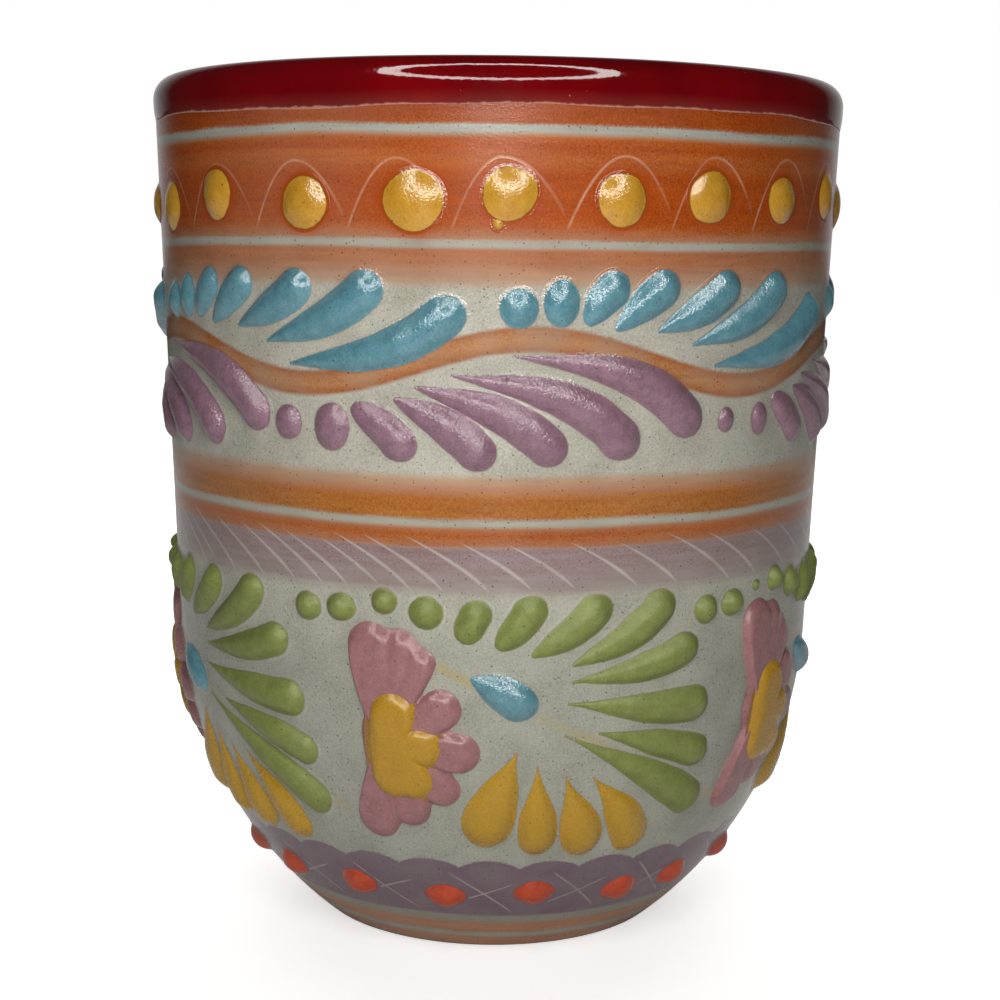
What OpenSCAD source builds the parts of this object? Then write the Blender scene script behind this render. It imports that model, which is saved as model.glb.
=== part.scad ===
// Handleless tumbler: a thrown clay cup, its glaze coats and the raised slip ornament on its wall.
// Millimetres, +Z up, with the origin at the middle of the foot, on the table.
// Angles run round the cup from its front (-Y) and grow to the right of someone who faces it.

/* [Cup] */
// Height of the clay cup
cup_h = 106.6; // [88:0.1:130]
// Outer diameter of the clay wall at the mouth
mouth_d = 87.4; // [72:0.1:106]
// Outer diameter where the round belly runs into the straight wall
belly_d = 82.4; // [68:0.1:100]
// Height where the round belly runs into the straight wall
belly_h = 38; // [31:0.5:46]
// Diameter of the foot
foot_d = 45; // [37:0.5:54]
// Width of the ring that the cup stands on
foot_ring_w = 5.5; // [4:0.1:9]
// Depth of the hollow inside that ring
foot_hollow_h = 1.4; // [0.5:0.1:2.5]
// Thickness of the wall
wall_t = 4.6; // [3.6:0.1:6]
// Thickness of the floor
floor_t = 6.5; // [5:0.1:8]
// Radius of the inside round between floor and wall
floor_round = 8; // [6:0.5:10]

/* [Glaze] */
// Thickness of the glaze coats
glaze_t = 0.4; // [0.2:0.02:0.8]
// How far the rim glaze comes down the outside
rim_out_h = 5; // [4:0.1:9]
// How far the rim glaze comes down the inside
rim_in_h = 8; // [4:0.1:14]

/* [Ornament] */
// Height of the cup for which the ornament's heights are drawn
drawn_h = 106.6; // [88:0.1:130]
// Millimetres of wall to one degree where the feathers and dots are drawn
upper_mm = 0.745; // [0.6:0.005:0.9]
// Millimetres of wall to one degree where the fans and flowers are drawn
lower_mm = 0.7; // [0.55:0.005:0.85]
// Millimetres of wall to one degree where the base dots are drawn
base_mm = 0.56; // [0.45:0.005:0.7]
// Gap between the slip and what it lies on
seat_gap = 0.1; // [0.08:0.01:0.25]
// Relief of the round dots
dot_relief = 1.4; // [0.8:0.1:2]
// Relief of the feathers
feather_relief = 1.4; // [0.8:0.1:2]
// Relief of the leaves, drops and petals
leaf_relief = 1.2; // [0.8:0.1:2]
// Relief of the half flower
flower_relief = 1; // [0.6:0.1:1.6]
// Relief of the heart above the half flower
heart_relief = 0.9; // [0.5:0.1:1.5]

/* [Hidden] */
// Belly arc: it passes through the edge of the foot and runs into the leaning wall without a crease
foot_r = foot_d / 2;
foot_ring_r = foot_r - foot_ring_w;
belly_top = [belly_d / 2, belly_h];
lean = atan((mouth_d - belly_d) / 2 / (cup_h - belly_h));
wall_out = [cos(lean), -sin(lean)];
wall_up = [sin(lean), cos(lean)];
foot_to_top = belly_top - [foot_r, 0];
belly_r = (foot_to_top * foot_to_top) / (2 * foot_to_top * wall_out);
belly_c = belly_top - belly_r * wall_out;
foot_a = atan2(-belly_c.y, foot_r - belly_c.x);

// Round lip, centred in the wall
lip_r = wall_t / 2;
lip_c = wall_at(cup_h - lip_r + lip_r * wall_out.y) - lip_r * wall_out;

// Inside round, which touches the floor and the inside of the belly
inner_r = belly_r - wall_t;
round_z = floor_t + floor_round;
round_x = belly_c.x + sqrt(pow(inner_r - floor_round, 2) - pow(belly_c.y - round_z, 2));
round_c = [round_x, round_z];
round_a = atan2(round_z - belly_c.y, round_x - belly_c.x);

// Ends of the rim glaze, outside and inside
rim_out = wall_at(cup_h - rim_out_h);
rim_in = wall_at(cup_h - rim_in_h) - wall_t * wall_out;

belly_steps = 30;
round_steps = 10;
lip_steps = 16;
turning = 180;

// Ornament heights follow the height of the cup
rise = cup_h / drawn_h;

// Where and how wide the slip is along a stroke and across it
taper_at = [0.14, 0.38, 0.62, 0.84, 1];
nose_at = [0.55, 0.88];
taper_power = 0.65;
bow_power = 1.5;
bow_peak = bow_power / (bow_power + 1);
bow_scale = 1 / (pow(bow_peak, bow_power) * (1 - bow_peak));
crown_at = [-1, -0.55, 0.55, 1];
stroke_rings = len(taper_at) + len(nose_at);
ring_size = len(crown_at) + 1;

// Rings of a dab, from its edge to its top: share of its radius, share of its relief
dab_rings = [[1, 0], [0.72, 0.7]];
flower_rings = [[1, 0], [0.84, 0.7], [0.5, 1]];
flower_under = [0.7, 0.35];

// Repeats of each row: turn about the cup, lift
blue_turns = [[0, 0], [73, 0.2], [146, -0.2], [219, 0.3], [291.5, -0.2]];
violet_turns = [[0, 0], [72, 0.6], [145, -0.3], [218, 0.2], [289.5, -0.2]];
leaf_turns = [[0, 0], [71.5, 0.3], [144, -0.2], [217, 0], [290, 0.1]];
end_dot_turns = [[0, 0], [72, 0.2], [145, 0], [218, -0.2], [293, 0.4]];
drop_turns = [[0, 0], [70, -1], [143, 0.3], [216, -0.6], [293.5, -2.4]];
petal_turns = [[0, 0], [70, 0.2], [143, 0], [216, 0.2], [293.5, -0.4]];
flower_turns = [[0, 0], [69, 0.8], [142, 0], [215, 0.3], [288, 0]];

// Strokes: angle and height of the tail, angle and height of the head, radius of the head, bow
blue_strokes = [
    [13.4, 78.4, 17.3, 82.2, 1.9, 0.2],
    [17.8, 77.8, 25.6, 82.4, 2, 0.1],
    [24.6, 77.6, 37, 82.2, 2.1, -0.4],
    [30.8, 76, 48.6, 82, 2.2, -0.9],
    [35.2, 73.6, 60.8, 79.3, 2.3, -1.6]
];
// Dots: angle, height, half width, half height
blue_dots = [[3.4, 80.2, 2, 2.1], [9.6, 80.8, 1.9, 2.5]];

violet_strokes = [
    [-22, 69.2, -14.6, 65.3, 2, 0.3],
    [-15.4, 70.2, -2.9, 64.7, 2.2, 0.6],
    [-12.3, 71.6, 7.8, 65.2, 2.2, 1.1],
    [-7, 73, 19, 66, 2.3, 1.8],
    [2, 75.2, 30, 68.3, 2.3, 2]
];
violet_dots = [[-33.4, 66.9, 1.8, 1.9], [-25.4, 66.7, 2.2, 2.6]];

leaf_strokes = [
    [-4.6, 42.9, -2.6, 46, 1.7, 0],
    [0.8, 42.2, 5.8, 46.5, 1.8, -0.2],
    [6.1, 41.3, 16, 46.4, 1.9, -0.4],
    [12.5, 40.1, 27, 46.3, 2, -0.7],
    [12.1, 38.2, 32.3, 41.2, 1.9, -0.6],
    [11.8, 35.8, 35, 34.4, 2.1, -0.3],
    [17.3, 32.1, 36.9, 28.3, 1.9, 0.2],
    [11.4, 32.2, 37.5, 22.2, 2.2, 0.3]
];
leaf_dots = [[-17, 47.3, 1.4, 1.4], [-10.3, 46.2, 1.8, 1.8]];
end_dots = [[36.5, 45.5, 1.6, 1.6], [42.6, 45.8, 1.7, 1.5]];

drop_strokes = [[-3.4, 38.9, 4.2, 36, 2.1, 0.2]];

petal_strokes = [
    [4.3, 30.2, -0.6, 20.7, 3, 0],
    [7.7, 28.4, 8.6, 19, 2.4, 0],
    [12.5, 27, 17, 18.7, 2.6, 0],
    [17.2, 26.7, 26.7, 18.5, 2.5, 0.3]
];

// Half flower and heart: a middle, then round lobes as angle, height and radius
flower_mid = [-16.5, 31.5];
flower_lobes = [
    [-14, 31.5, 5],
    [-19.3, 41.9, 2.8], [-14.8, 41.6, 2.5], [-11.8, 40, 2.2],
    [-8.2, 35, 2.4], [-5.4, 29.9, 2.5], [-8.2, 25.3, 2.2],
    [-13.9, 22.8, 2.6], [-20, 20.9, 2.7],
    [-19.8, 37.5, 2.3], [-19.3, 33.5, 2.2], [-19.4, 29, 2.2], [-20, 25, 2.4]
];
flower_sides = 48;
heart_mid = [-15.2, 30.7];
heart_lobes = [[-15.5, 34.4, 2.7], [-11.1, 30.6, 2.4], [-15.4, 27.2, 3], [-17, 31, 2.6]];
heart_sides = 32;

// Hand spacing: how far each dot lies from an even pitch, and its height
yellow_count = 22;
yellow_shift = [1.8, 1.9, 0.4, 0.2, 0.9, 0.6, 1.2, 0.3, 0.9, 1.5, 0.4, 0.8, 1.1, 0.2, 0.7, 1.3, 0.5, 0.8,
    0.9, 1, 3.3, 4.3];
yellow_z = [92.4, 91.9, 92.4, 92.3, 93.1, 92.2, 91.8, 92.5, 92, 91.6, 92.3, 92.6, 91.9, 92.1, 92.4, 91.7,
    92.2, 91.5, 91, 92.3, 91.3, 91.6];
yellow_r = [2.8, 2.7, 2.8, 2.6, 2.7, 2.9, 2.6, 2.8, 2.7, 2.9, 2.6, 2.8, 2.7, 2.6, 2.9, 2.7, 2.8, 2.6, 2.8,
    2.7, 2.8, 3.2];
red_count = 18;
red_first = 10;
red_shift = [-0.4, -0.1, -4.6, -2.5, -1, 0.6, -0.8, 0.4, 1.1, -0.6, 0.3, -1.2, 0.7, -0.3, 0.9, -0.4,
    0.5, 0.5];
red_z = [10.5, 9.7, 10, 10.2, 9.8, 10.3, 10, 9.7, 10.4, 10.1, 9.8, 10.2, 9.9, 10.3, 10.1, 10, 10.3, 9.8];
red_half_w = 2.4;
red_half_h = 1.8;

repeats = len(blue_turns);
repeated = ["blue_feathers", "violet_feathers", "green_leaves", "blue_drop", "yellow_petals", "pink_flower",
    "flower_heart"];

// Points of an arc from angle a0 to angle a1
function arc(c, r, a0, a1, steps) =
    [for (i = [0:steps]) let(a = a0 + (a1 - a0) * i / steps) c + r * [cos(a), sin(a)]];

// Point of the straight wall's outer line at a height
function wall_at(z) = belly_top + (z - belly_h) / wall_up.y * wall_up;

// Radius and height of a point that stands h proud of the clay at a height
function proud(z, h) =
    z > belly_h ? wall_at(z) + h * wall_out
    : let(a = asin((z - belly_c.y) / belly_r)) belly_c + (belly_r + h) * [cos(a), sin(a)];

// Point of the ornament: chart millimetres along and up, millimetres of relief
function on_cup(p, h, turn, mm) =
    let(a = p.x / mm + turn[0], q = proud((p.y + turn[1]) * rise, h)) [q.x * sin(a), -q.x * cos(a), q.y];

// How a stroke bows sideways along its length, from 0 at the tail through 1 to 0 at the head, and its slope
function bow_at(t) = bow_scale * pow(t, bow_power) * (1 - t);
function bow_slope(t) = bow_scale * (bow_power * pow(t, bow_power - 1) * (1 - t) - pow(t, bow_power));

// Half width of a stroke at a distance from its tail
function half_width(s, l, r) =
    s >= l ? sqrt(r * r - pow(s - l, 2))
    : max(r * pow(s / l, taper_power), sqrt(max(0, r * r - pow(l - s, 2))));

// A stroke's points: tail, rings of crown points and one point under them, nose
function stroke_points(stroke, turn, mm, relief) =
    let(tail = [stroke[0] * mm, stroke[1]],
        head = [stroke[2] * mm, stroke[3]],
        r = stroke[4],
        bow = stroke[5],
        l = norm(head - tail),
        along = (head - tail) / l,
        left = [-along.y, along.x],
        stops = concat([for (t = taper_at) t * l], [for (t = nose_at) l + t * r]))
    concat(
        [on_cup(tail, seat_gap, turn, mm)],
        [for (s = stops)
            let(mid = tail + along * s + left * bow * bow_at(s / l),
                heading = along + left * bow * bow_slope(s / l) / l,
                across = [-heading.y, heading.x] / norm(heading),
                w = half_width(s, l, r),
                h = relief * min(1, w / r))
            each concat(
                [for (t = crown_at) on_cup(mid + across * w * t, seat_gap + h * sqrt(1 - t * t), turn, mm)],
                [on_cup(mid, seat_gap, turn, mm)])],
        [on_cup(head + along * r + left * bow * bow_at(1 + r / l), seat_gap, turn, mm)]);

// A stroke's faces: a fan at the tail, bands between rings, a fan at the nose
function stroke_faces(first) =
    let(nose = first + 1 + stroke_rings * ring_size)
    concat(
        [for (j = [0:ring_size - 1]) [first, first + 1 + (j + 1) % ring_size, first + 1 + j]],
        [for (k = [0:stroke_rings - 2], j = [0:ring_size - 1])
            let(a = first + 1 + k * ring_size, b = a + ring_size, i = (j + 1) % ring_size)
            each [[a + j, a + i, b + i], [a + j, b + i, b + j]]],
        [for (j = [0:ring_size - 1]) [nose - ring_size + j, nose - ring_size + (j + 1) % ring_size, nose]]);

// Several strokes as separate shells of one solid
module strokes(list, turn, mm, relief) {
    size = stroke_rings * ring_size + 2;
    polyhedron(
        points = [for (s = list) each stroke_points(s, turn, mm, relief)],
        faces = [for (i = [0:len(list) - 1]) each stroke_faces(i * size)]);
}

// A dab's points: rings from its edge to its top, the top, rings under it, the middle under it
function dab_points(mid, outline, turn, mm, base, relief, rings, under) =
    let(c = [mid.x * mm, mid.y])
    concat(
        [for (g = rings, p = outline) on_cup(c + g[0] * p, base + g[1] * relief, turn, mm)],
        [on_cup(c, base + relief, turn, mm)],
        [for (g = under, p = outline) on_cup(c + g * p, base, turn, mm)],
        [on_cup(c, base, turn, mm)]);

// A dab's faces: crown bands, crown fan, bands under it, fan under it
function dab_faces(first, sides, rings, under) =
    let(top = first + sides * rings,
        bottom = top + 1 + sides * under,
        low = concat([first], [for (k = [0:1:under - 1]) top + 1 + k * sides]))
    concat(
        [for (k = [0:1:rings - 2], i = [0:sides - 1])
            let(a = first + k * sides, b = a + sides, j = (i + 1) % sides)
            each [[a + i, b + i, b + j], [a + i, b + j, a + j]]],
        [for (i = [0:sides - 1]) [top - sides + i, top, top - sides + (i + 1) % sides]],
        [for (k = [0:1:under - 1], i = [0:sides - 1])
            let(a = low[k], b = low[k + 1], j = (i + 1) % sides)
            each [[a + i, b + j, b + i], [a + i, a + j, b + j]]],
        [for (i = [0:sides - 1]) [low[under] + i, low[under] + (i + 1) % sides, bottom]]);

// Several round dots as separate shells of one solid
module dots(list, turn, mm, relief) {
    sides = 12;
    size = sides * len(dab_rings) + 2;
    polyhedron(
        points = [for (d = list)
            let(outline = [for (i = [0:sides - 1]) let(a = i * 360 / sides) [d[2] * cos(a), d[3] * sin(a)]])
            each dab_points([d[0], d[1]], outline, turn, mm, seat_gap, relief, dab_rings, [])],
        faces = [for (i = [0:len(list) - 1]) each dab_faces(i * size, sides, len(dab_rings), 0)]);
}

// How far a round lobe reaches from the middle in one direction
function reach(a, c, r) =
    let(d = norm(c), t = atan2(c.y, c.x) - a, off = d * sin(t))
    abs(off) < r && (d < r || cos(t) > 0) ? d * cos(t) + sqrt(r * r - off * off) : 0;

// Outline of overlapping round lobes about a middle
function lobed(mid, lobes, mm, sides) =
    [for (i = [0:sides - 1])
        let(a = i * 360 / sides,
            far = max([for (l = lobes) reach(a, [(l[0] - mid.x) * mm, l[1] - mid.y], l[2])]))
        far * [cos(a), sin(a)]];

module lobed_dab(mid, lobes, sides, turn, base, relief) {
    polyhedron(
        points = dab_points(mid, lobed(mid, lobes, lower_mm, sides), turn, lower_mm, base, relief,
            flower_rings, flower_under),
        faces = dab_faces(0, sides, len(flower_rings), len(flower_under)));
}

module body() {
    color("lightgray")
    rotate_extrude($fn = turning)
    polygon(concat(
        [[0, foot_hollow_h], [foot_ring_r - foot_hollow_h, foot_hollow_h], [foot_ring_r, 0]],
        arc(belly_c, belly_r, foot_a, -lean, belly_steps),
        arc(lip_c, lip_r, -lean, 180 - lean, lip_steps),
        arc(belly_c, inner_r, -lean, round_a, belly_steps),
        arc(round_c, floor_round, round_a, -90, round_steps),
        [[0, floor_t]]));
}

module liner_glaze() {
    color("ivory")
    rotate_extrude($fn = turning)
    polygon(concat(
        [rim_in],
        arc(belly_c, inner_r, -lean, round_a, belly_steps),
        arc(round_c, floor_round, round_a, -90, round_steps),
        [[0, floor_t], [0, floor_t + glaze_t]],
        arc(round_c, floor_round - glaze_t, -90, round_a, round_steps),
        arc(belly_c, inner_r - glaze_t, round_a, -lean, belly_steps),
        [rim_in - glaze_t * wall_out]));
}

module rim_glaze() {
    color("darkred")
    rotate_extrude($fn = turning)
    polygon(concat(
        [rim_out, rim_out + glaze_t * wall_out],
        arc(lip_c, lip_r + glaze_t, -lean, 180 - lean, lip_steps),
        [rim_in - glaze_t * wall_out, rim_in],
        arc(lip_c, lip_r, 180 - lean, -lean, lip_steps)));
}

module yellow_dots() {
    pitch = 360 / yellow_count;
    color("goldenrod")
    dots([for (i = [0:yellow_count - 1])
        [i * pitch + yellow_shift[i], yellow_z[i], yellow_r[i], yellow_r[i]]], [0, 0], upper_mm, dot_relief);
}

module red_dots() {
    pitch = 360 / red_count;
    color("orangered")
    dots([for (i = [0:red_count - 1])
        [red_first + i * pitch + red_shift[i], red_z[i], red_half_w, red_half_h]],
        [0, 0], base_mm, dot_relief);
}

module blue_feathers(k) {
    color("steelblue") {
        strokes(blue_strokes, blue_turns[k], upper_mm, feather_relief);
        dots(blue_dots, blue_turns[k], upper_mm, feather_relief);
    }
}

module violet_feathers(k) {
    color("mediumpurple") {
        strokes(violet_strokes, violet_turns[k], upper_mm, feather_relief);
        dots(violet_dots, violet_turns[k], upper_mm, feather_relief);
    }
}

module green_leaves(k) {
    color("olivedrab") {
        strokes(leaf_strokes, leaf_turns[k], lower_mm, leaf_relief);
        dots(leaf_dots, leaf_turns[k], lower_mm, leaf_relief);
        dots(end_dots, end_dot_turns[k], lower_mm, leaf_relief);
    }
}

module blue_drop(k) {
    color("steelblue") strokes(drop_strokes, drop_turns[k], lower_mm, leaf_relief);
}

module yellow_petals(k) {
    color("goldenrod") strokes(petal_strokes, petal_turns[k], lower_mm, leaf_relief);
}

module pink_flower(k) {
    color("palevioletred")
    lobed_dab(flower_mid, flower_lobes, flower_sides, flower_turns[k], seat_gap, flower_relief);
}

module flower_heart(k) {
    color("gold")
    lobed_dab(heart_mid, heart_lobes, heart_sides, flower_turns[k], 2 * seat_gap + flower_relief,
        heart_relief);
}

body();
liner_glaze();
rim_glaze();
yellow_dots();
red_dots();
for (k = [1:repeats]) {
    blue_feathers(k - 1);
    violet_feathers(k - 1);
    green_leaves(k - 1);
    blue_drop(k - 1);
    yellow_petals(k - 1);
    pink_flower(k - 1);
    flower_heart(k - 1);
}
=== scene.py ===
"""Tumbler: a thrown stoneware cup with a red rim, a glazed inside and painted, scratched and raised work.

Sizes are in millimetres until a mesh is made. Angles are degrees round the cup from its front, and grow to
the right.
"""
import math

import bpy
import numpy as np
from mathutils import Matrix, Vector


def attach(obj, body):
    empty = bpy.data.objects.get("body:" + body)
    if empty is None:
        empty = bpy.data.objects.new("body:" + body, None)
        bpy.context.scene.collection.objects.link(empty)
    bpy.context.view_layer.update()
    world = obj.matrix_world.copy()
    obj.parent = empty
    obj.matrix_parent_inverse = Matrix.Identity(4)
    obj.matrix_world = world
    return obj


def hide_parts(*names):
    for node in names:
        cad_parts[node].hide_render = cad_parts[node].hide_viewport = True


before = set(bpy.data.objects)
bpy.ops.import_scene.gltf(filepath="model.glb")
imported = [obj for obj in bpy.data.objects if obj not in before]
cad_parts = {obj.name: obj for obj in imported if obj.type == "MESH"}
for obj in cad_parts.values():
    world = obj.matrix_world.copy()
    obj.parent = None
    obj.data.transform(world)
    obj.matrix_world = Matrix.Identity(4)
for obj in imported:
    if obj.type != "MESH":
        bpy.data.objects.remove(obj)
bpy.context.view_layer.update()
chance = np.random.default_rng(11)

# Clay, glaze and slip, as in the part's source
CUP_H, MOUTH_D, BELLY_D, BELLY_H = 106.6, 87.4, 82.4, 38.0
FOOT_D, FOOT_RING_W, FOOT_HOLLOW_H = 45.0, 5.5, 1.4
WALL_T, FLOOR_T, FLOOR_ROUND = 4.6, 6.5, 8.0
GLAZE_T, RIM_OUT_H, RIM_IN_H = 0.4, 5.0, 8.0
DOT_RELIEF, FEATHER_RELIEF, LEAF_RELIEF, FLOWER_RELIEF, HEART_RELIEF = 1.4, 1.4, 1.2, 1.0, 0.9
# Millimetres to a degree round the upper wall, the lower wall and the base
UPPER_MM, LOWER_MM, BASE_MM = 0.745, 0.7, 0.56
# Red glaze on the wall, as thin as the photograph shows it, and how far each glaze goes into the clay
RIM_T, RIM_SINK, LINER_SINK = 0.2, 0.2, 0.1
# Distance from an edge or a line, in millimetres, that is too far for it to show
FAR = 9.0

# Lean of the straight wall, its directions out and up, its lower end, the belly's arc and the lip
LEAN = math.atan((MOUTH_D - BELLY_D) / 2 / (CUP_H - BELLY_H))
WALL_OUT = np.array([math.cos(LEAN), -math.sin(LEAN)])
WALL_UP = np.array([math.sin(LEAN), math.cos(LEAN)])
BELLY_TOP = np.array([BELLY_D / 2, BELLY_H])
FOOT_TO_TOP = BELLY_TOP - [FOOT_D / 2, 0]
BELLY_R = FOOT_TO_TOP @ FOOT_TO_TOP / (2 * FOOT_TO_TOP @ WALL_OUT)
BELLY_C = BELLY_TOP - BELLY_R * WALL_OUT
LIP_R = WALL_T / 2

# Camera, from the fit of the cup's outline: place in metres, turns in degrees, lens and sensor in millimetres
CAMERA_AT = (0, -0.2402, 0.0878)
CAMERA_TILT, CAMERA_ROLL = 8.21, 0.67
LENS, SENSOR, LENS_SHIFT = 65.6, 36.0, 0.0064
CAMERA_TURN = (Matrix.Rotation(math.radians(90 - CAMERA_TILT), 4, "X")
               @ Matrix.Rotation(math.radians(CAMERA_ROLL), 4, "Z"))
PICTURE_W = 1000

# Rows of the ornament, as in the part's source: turn about the cup and lift of each repeat
BLUE_TURNS = [[0, 0], [73, 0.2], [146, -0.2], [219, 0.3], [291.5, -0.2]]
VIOLET_TURNS = [[0, 0], [72, 0.6], [145, -0.3], [218, 0.2], [289.5, -0.2]]
LEAF_TURNS = [[0, 0], [71.5, 0.3], [144, -0.2], [217, 0], [290, 0.1]]
END_DOT_TURNS = [[0, 0], [72, 0.2], [145, 0], [218, -0.2], [293, 0.4]]
DROP_TURNS = [[0, 0], [70, -1], [143, 0.3], [216, -0.6], [293.5, -2.4]]
PETAL_TURNS = [[0, 0], [70, 0.2], [143, 0], [216, 0.2], [293.5, -0.4]]
FLOWER_TURNS = [[0, 0], [69, 0.8], [142, 0], [215, 0.3], [288, 0]]

# Strokes: angle and height of the tail, angle and height of the head, radius of the head, bow
BLUE_STROKES = [
    [13.4, 78.4, 17.3, 82.2, 1.9, 0.2],
    [17.8, 77.8, 25.6, 82.4, 2, 0.1],
    [24.6, 77.6, 37, 82.2, 2.1, -0.4],
    [30.8, 76, 48.6, 82, 2.2, -0.9],
    [35.2, 73.6, 60.8, 79.3, 2.3, -1.6],
]
VIOLET_STROKES = [
    [-22, 69.2, -14.6, 65.3, 2, 0.3],
    [-15.4, 70.2, -2.9, 64.7, 2.2, 0.6],
    [-12.3, 71.6, 7.8, 65.2, 2.2, 1.1],
    [-7, 73, 19, 66, 2.3, 1.8],
    [2, 75.2, 30, 68.3, 2.3, 2],
]
LEAF_STROKES = [
    [-4.6, 42.9, -2.6, 46, 1.7, 0],
    [0.8, 42.2, 5.8, 46.5, 1.8, -0.2],
    [6.1, 41.3, 16, 46.4, 1.9, -0.4],
    [12.5, 40.1, 27, 46.3, 2, -0.7],
    [12.1, 38.2, 32.3, 41.2, 1.9, -0.6],
    [11.8, 35.8, 35, 34.4, 2.1, -0.3],
    [17.3, 32.1, 36.9, 28.3, 1.9, 0.2],
    [11.4, 32.2, 37.5, 22.2, 2.2, 0.3],
]
DROP_STROKES = [[-3.4, 38.9, 4.2, 36, 2.1, 0.2]]
PETAL_STROKES = [
    [4.3, 30.2, -0.6, 20.7, 3, 0],
    [7.7, 28.4, 8.6, 19, 2.4, 0],
    [12.5, 27, 17, 18.7, 2.6, 0],
    [17.2, 26.7, 26.7, 18.5, 2.5, 0.3],
]
# How slowly each stroke fills out from its tail: under 1 is a blunt tail, over 1 a thread
BLUE_FILL = [0.7, 0.9, 1.1, 1.25, 1.3]
VIOLET_FILL = [0.55, 1, 1.2, 1.5, 1.7]
LEAF_FILL = [0.42, 0.6, 0.9, 1.1, 1.6, 1.8, 1.5, 2.1]
PETAL_FILL = [1.8, 2.2, 2.3, 2]
# How high dots and strokes stand against their full relief, the strokes from the shortest to the longest
DOT_RISE, YELLOW_RISE, RED_RISE = 0.62, 0.56, 0.8
STROKE_RISE = [0.7, 0.78, 0.86, 0.94, 1]
# Size of the violet dots in each repeat, against the first
VIOLET_DOT_SIZE = [1, 0.68, 0.9, 1, 0.95]
# Dots: angle, height, half width, half height
BLUE_DOTS = [[3.4, 80.2, 2, 2.1], [9.6, 80.8, 1.9, 2.5]]
VIOLET_DOTS = [[-33.4, 66.9, 1.8, 1.9], [-25.4, 66.7, 2.2, 2.6]]
LEAF_DOTS = [[-17, 47.3, 1.4, 1.4], [-10.3, 46.2, 1.8, 1.8]]
END_DOTS = [[36.5, 45.5, 1.6, 1.6], [42.6, 45.8, 1.7, 1.5]]
# Half flower and its heart: middle, round lobes as angle, height and radius, and the notches between petals
FLOWER_MID = [-16.5, 31.5]
FLOWER_LOBES = [
    [-14, 31.5, 5],
    [-19.3, 41.9, 2.8], [-14.8, 41.6, 2.5], [-11.8, 40, 2.2],
    [-8.2, 35, 2.4], [-5.4, 29.9, 2.5], [-8.2, 25.3, 2.2],
    [-13.9, 22.8, 2.6], [-20, 20.9, 2.7],
]
FLOWER_SPINE = [[-19.3, 41.9, 2.8], [-18.6, 38.5, 2.6], [-17.4, 34.5, 2.3], [-17, 31, 2.2], [-17.2, 28, 2.2],
                [-18.7, 24.5, 2.4], [-20, 20.9, 2.7]]
# Notches: angle, height and how deep the crease that ends there is
FLOWER_NOTCHES = [[-16.1, 43.7, 0.28], [-12.4, 42.4, 0.22], [-10, 37.5, 0.4], [-7.9, 32, 0.45],
                  [-7.5, 27.5, 0.45], [-10, 23.1, 0.35], [-16.4, 21.6, 0.3]]
HEART_MID = [-15.2, 30.7]
HEART_LOBES = [[-11.1, 30.6, 2.4], [-12.4, 26.5, 2.3]]
HEART_SPINE = [[-15.5, 34.4, 2.7], [-16.2, 32.4, 2.5], [-16.1, 29.6, 2.6], [-15.4, 27.2, 3]]
HEART_NOTCHES = [[-11.8, 33.4, 0.2], [-10.3, 28.4, 0.3]]
# Height over the clay at which the heart starts, inside the flower
HEART_BASE = 0.75
# Hand spacing of the two rows of round dots
YELLOW_SHIFT = [1.8, 1.9, 0.4, 0.2, 0.9, 0.6, 1.2, 0.3, 0.9, 1.5, 0.4,
                0.8, 1.1, 0.2, 0.7, 1.3, 0.5, 0.8, 0.9, 1, 3.3, 4.3]
YELLOW_Z = [92.4, 91.9, 92.4, 92.3, 93.1, 92.2, 91.8, 92.5, 92, 91.6, 92.3,
            92.6, 91.9, 92.1, 92.4, 91.7, 92.2, 91.5, 91, 92.3, 91.3, 91.6]
YELLOW_R = [2.8, 2.7, 2.8, 2.6, 2.7, 2.9, 2.6, 2.8, 2.7, 2.9, 2.6,
            2.8, 2.7, 2.6, 2.9, 2.7, 2.8, 2.6, 2.8, 2.7, 2.8, 3.2]
RED_SHIFT = [-0.4, -0.1, -4.6, -2.5, -1, 0.6, -0.8, 0.4, 1.1, -0.6, 0.3, -1.2, 0.7, -0.3, 0.9, -0.4, 0.5, 0.5]
RED_Z = [10.5, 9.7, 10, 10.2, 9.8, 10.3, 10, 9.7, 10.4, 10.1, 9.8, 10.2, 9.9, 10.3, 10.1, 10, 10.3, 9.8]
RED_HALF_W, RED_HALF_H = 2.4, 1.8
YELLOW_COUNT, RED_COUNT, RED_FIRST = len(YELLOW_SHIFT), len(RED_SHIFT), 10
YELLOW_A = np.arange(YELLOW_COUNT) * 360 / YELLOW_COUNT + YELLOW_SHIFT
RED_A = RED_FIRST + np.arange(RED_COUNT) * 360 / RED_COUNT + RED_SHIFT
# How far yellow dots are out of round, how far red ones are pinched, and the width of the red stain and
# painted shade round yellow ones
YELLOW_UNEVEN, RED_PINCH, STAIN_AND_SHADE_W = 2.2, 0.16, 0.8
# Two small drops of slip, under the first yellow dot and beside the first fan, as dots, and their relief
YELLOW_SPLASH, GREEN_SPLASH, SPLASH_RELIEF = [0.2, 89.2, 0.5, 0.5], [48.9, 47.3, 0.6, 0.55], 0.3

# Clear glaze fills the corner between slip and wall over this width
FILLET = 0.55
# How far a dab's underside goes into the wall, and its edge
SINK, EDGE_SINK = 0.12, 0.04
# Power of a dab's dome, and how soft its corner is on dots and strokes and on flowers
DOME_POWER, DAB_CORNER, FLOWER_CORNER = 2.4, 0.17, 0.13
# Width over which a flower's edge rises, and width of its creases
FLOWER_EDGE, CREASE_W = 2, 0.45
# Largest value of t^1.5 (1 - t), which lies at t = 0.6
BOW_PEAK = 0.6 ** 1.5 * 0.4
# Rows along a stroke's shaft and round its head, and points across it
SHAFT_ROWS, HEAD_ROWS, STROKE_COLS = 34, 15, 23
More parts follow.
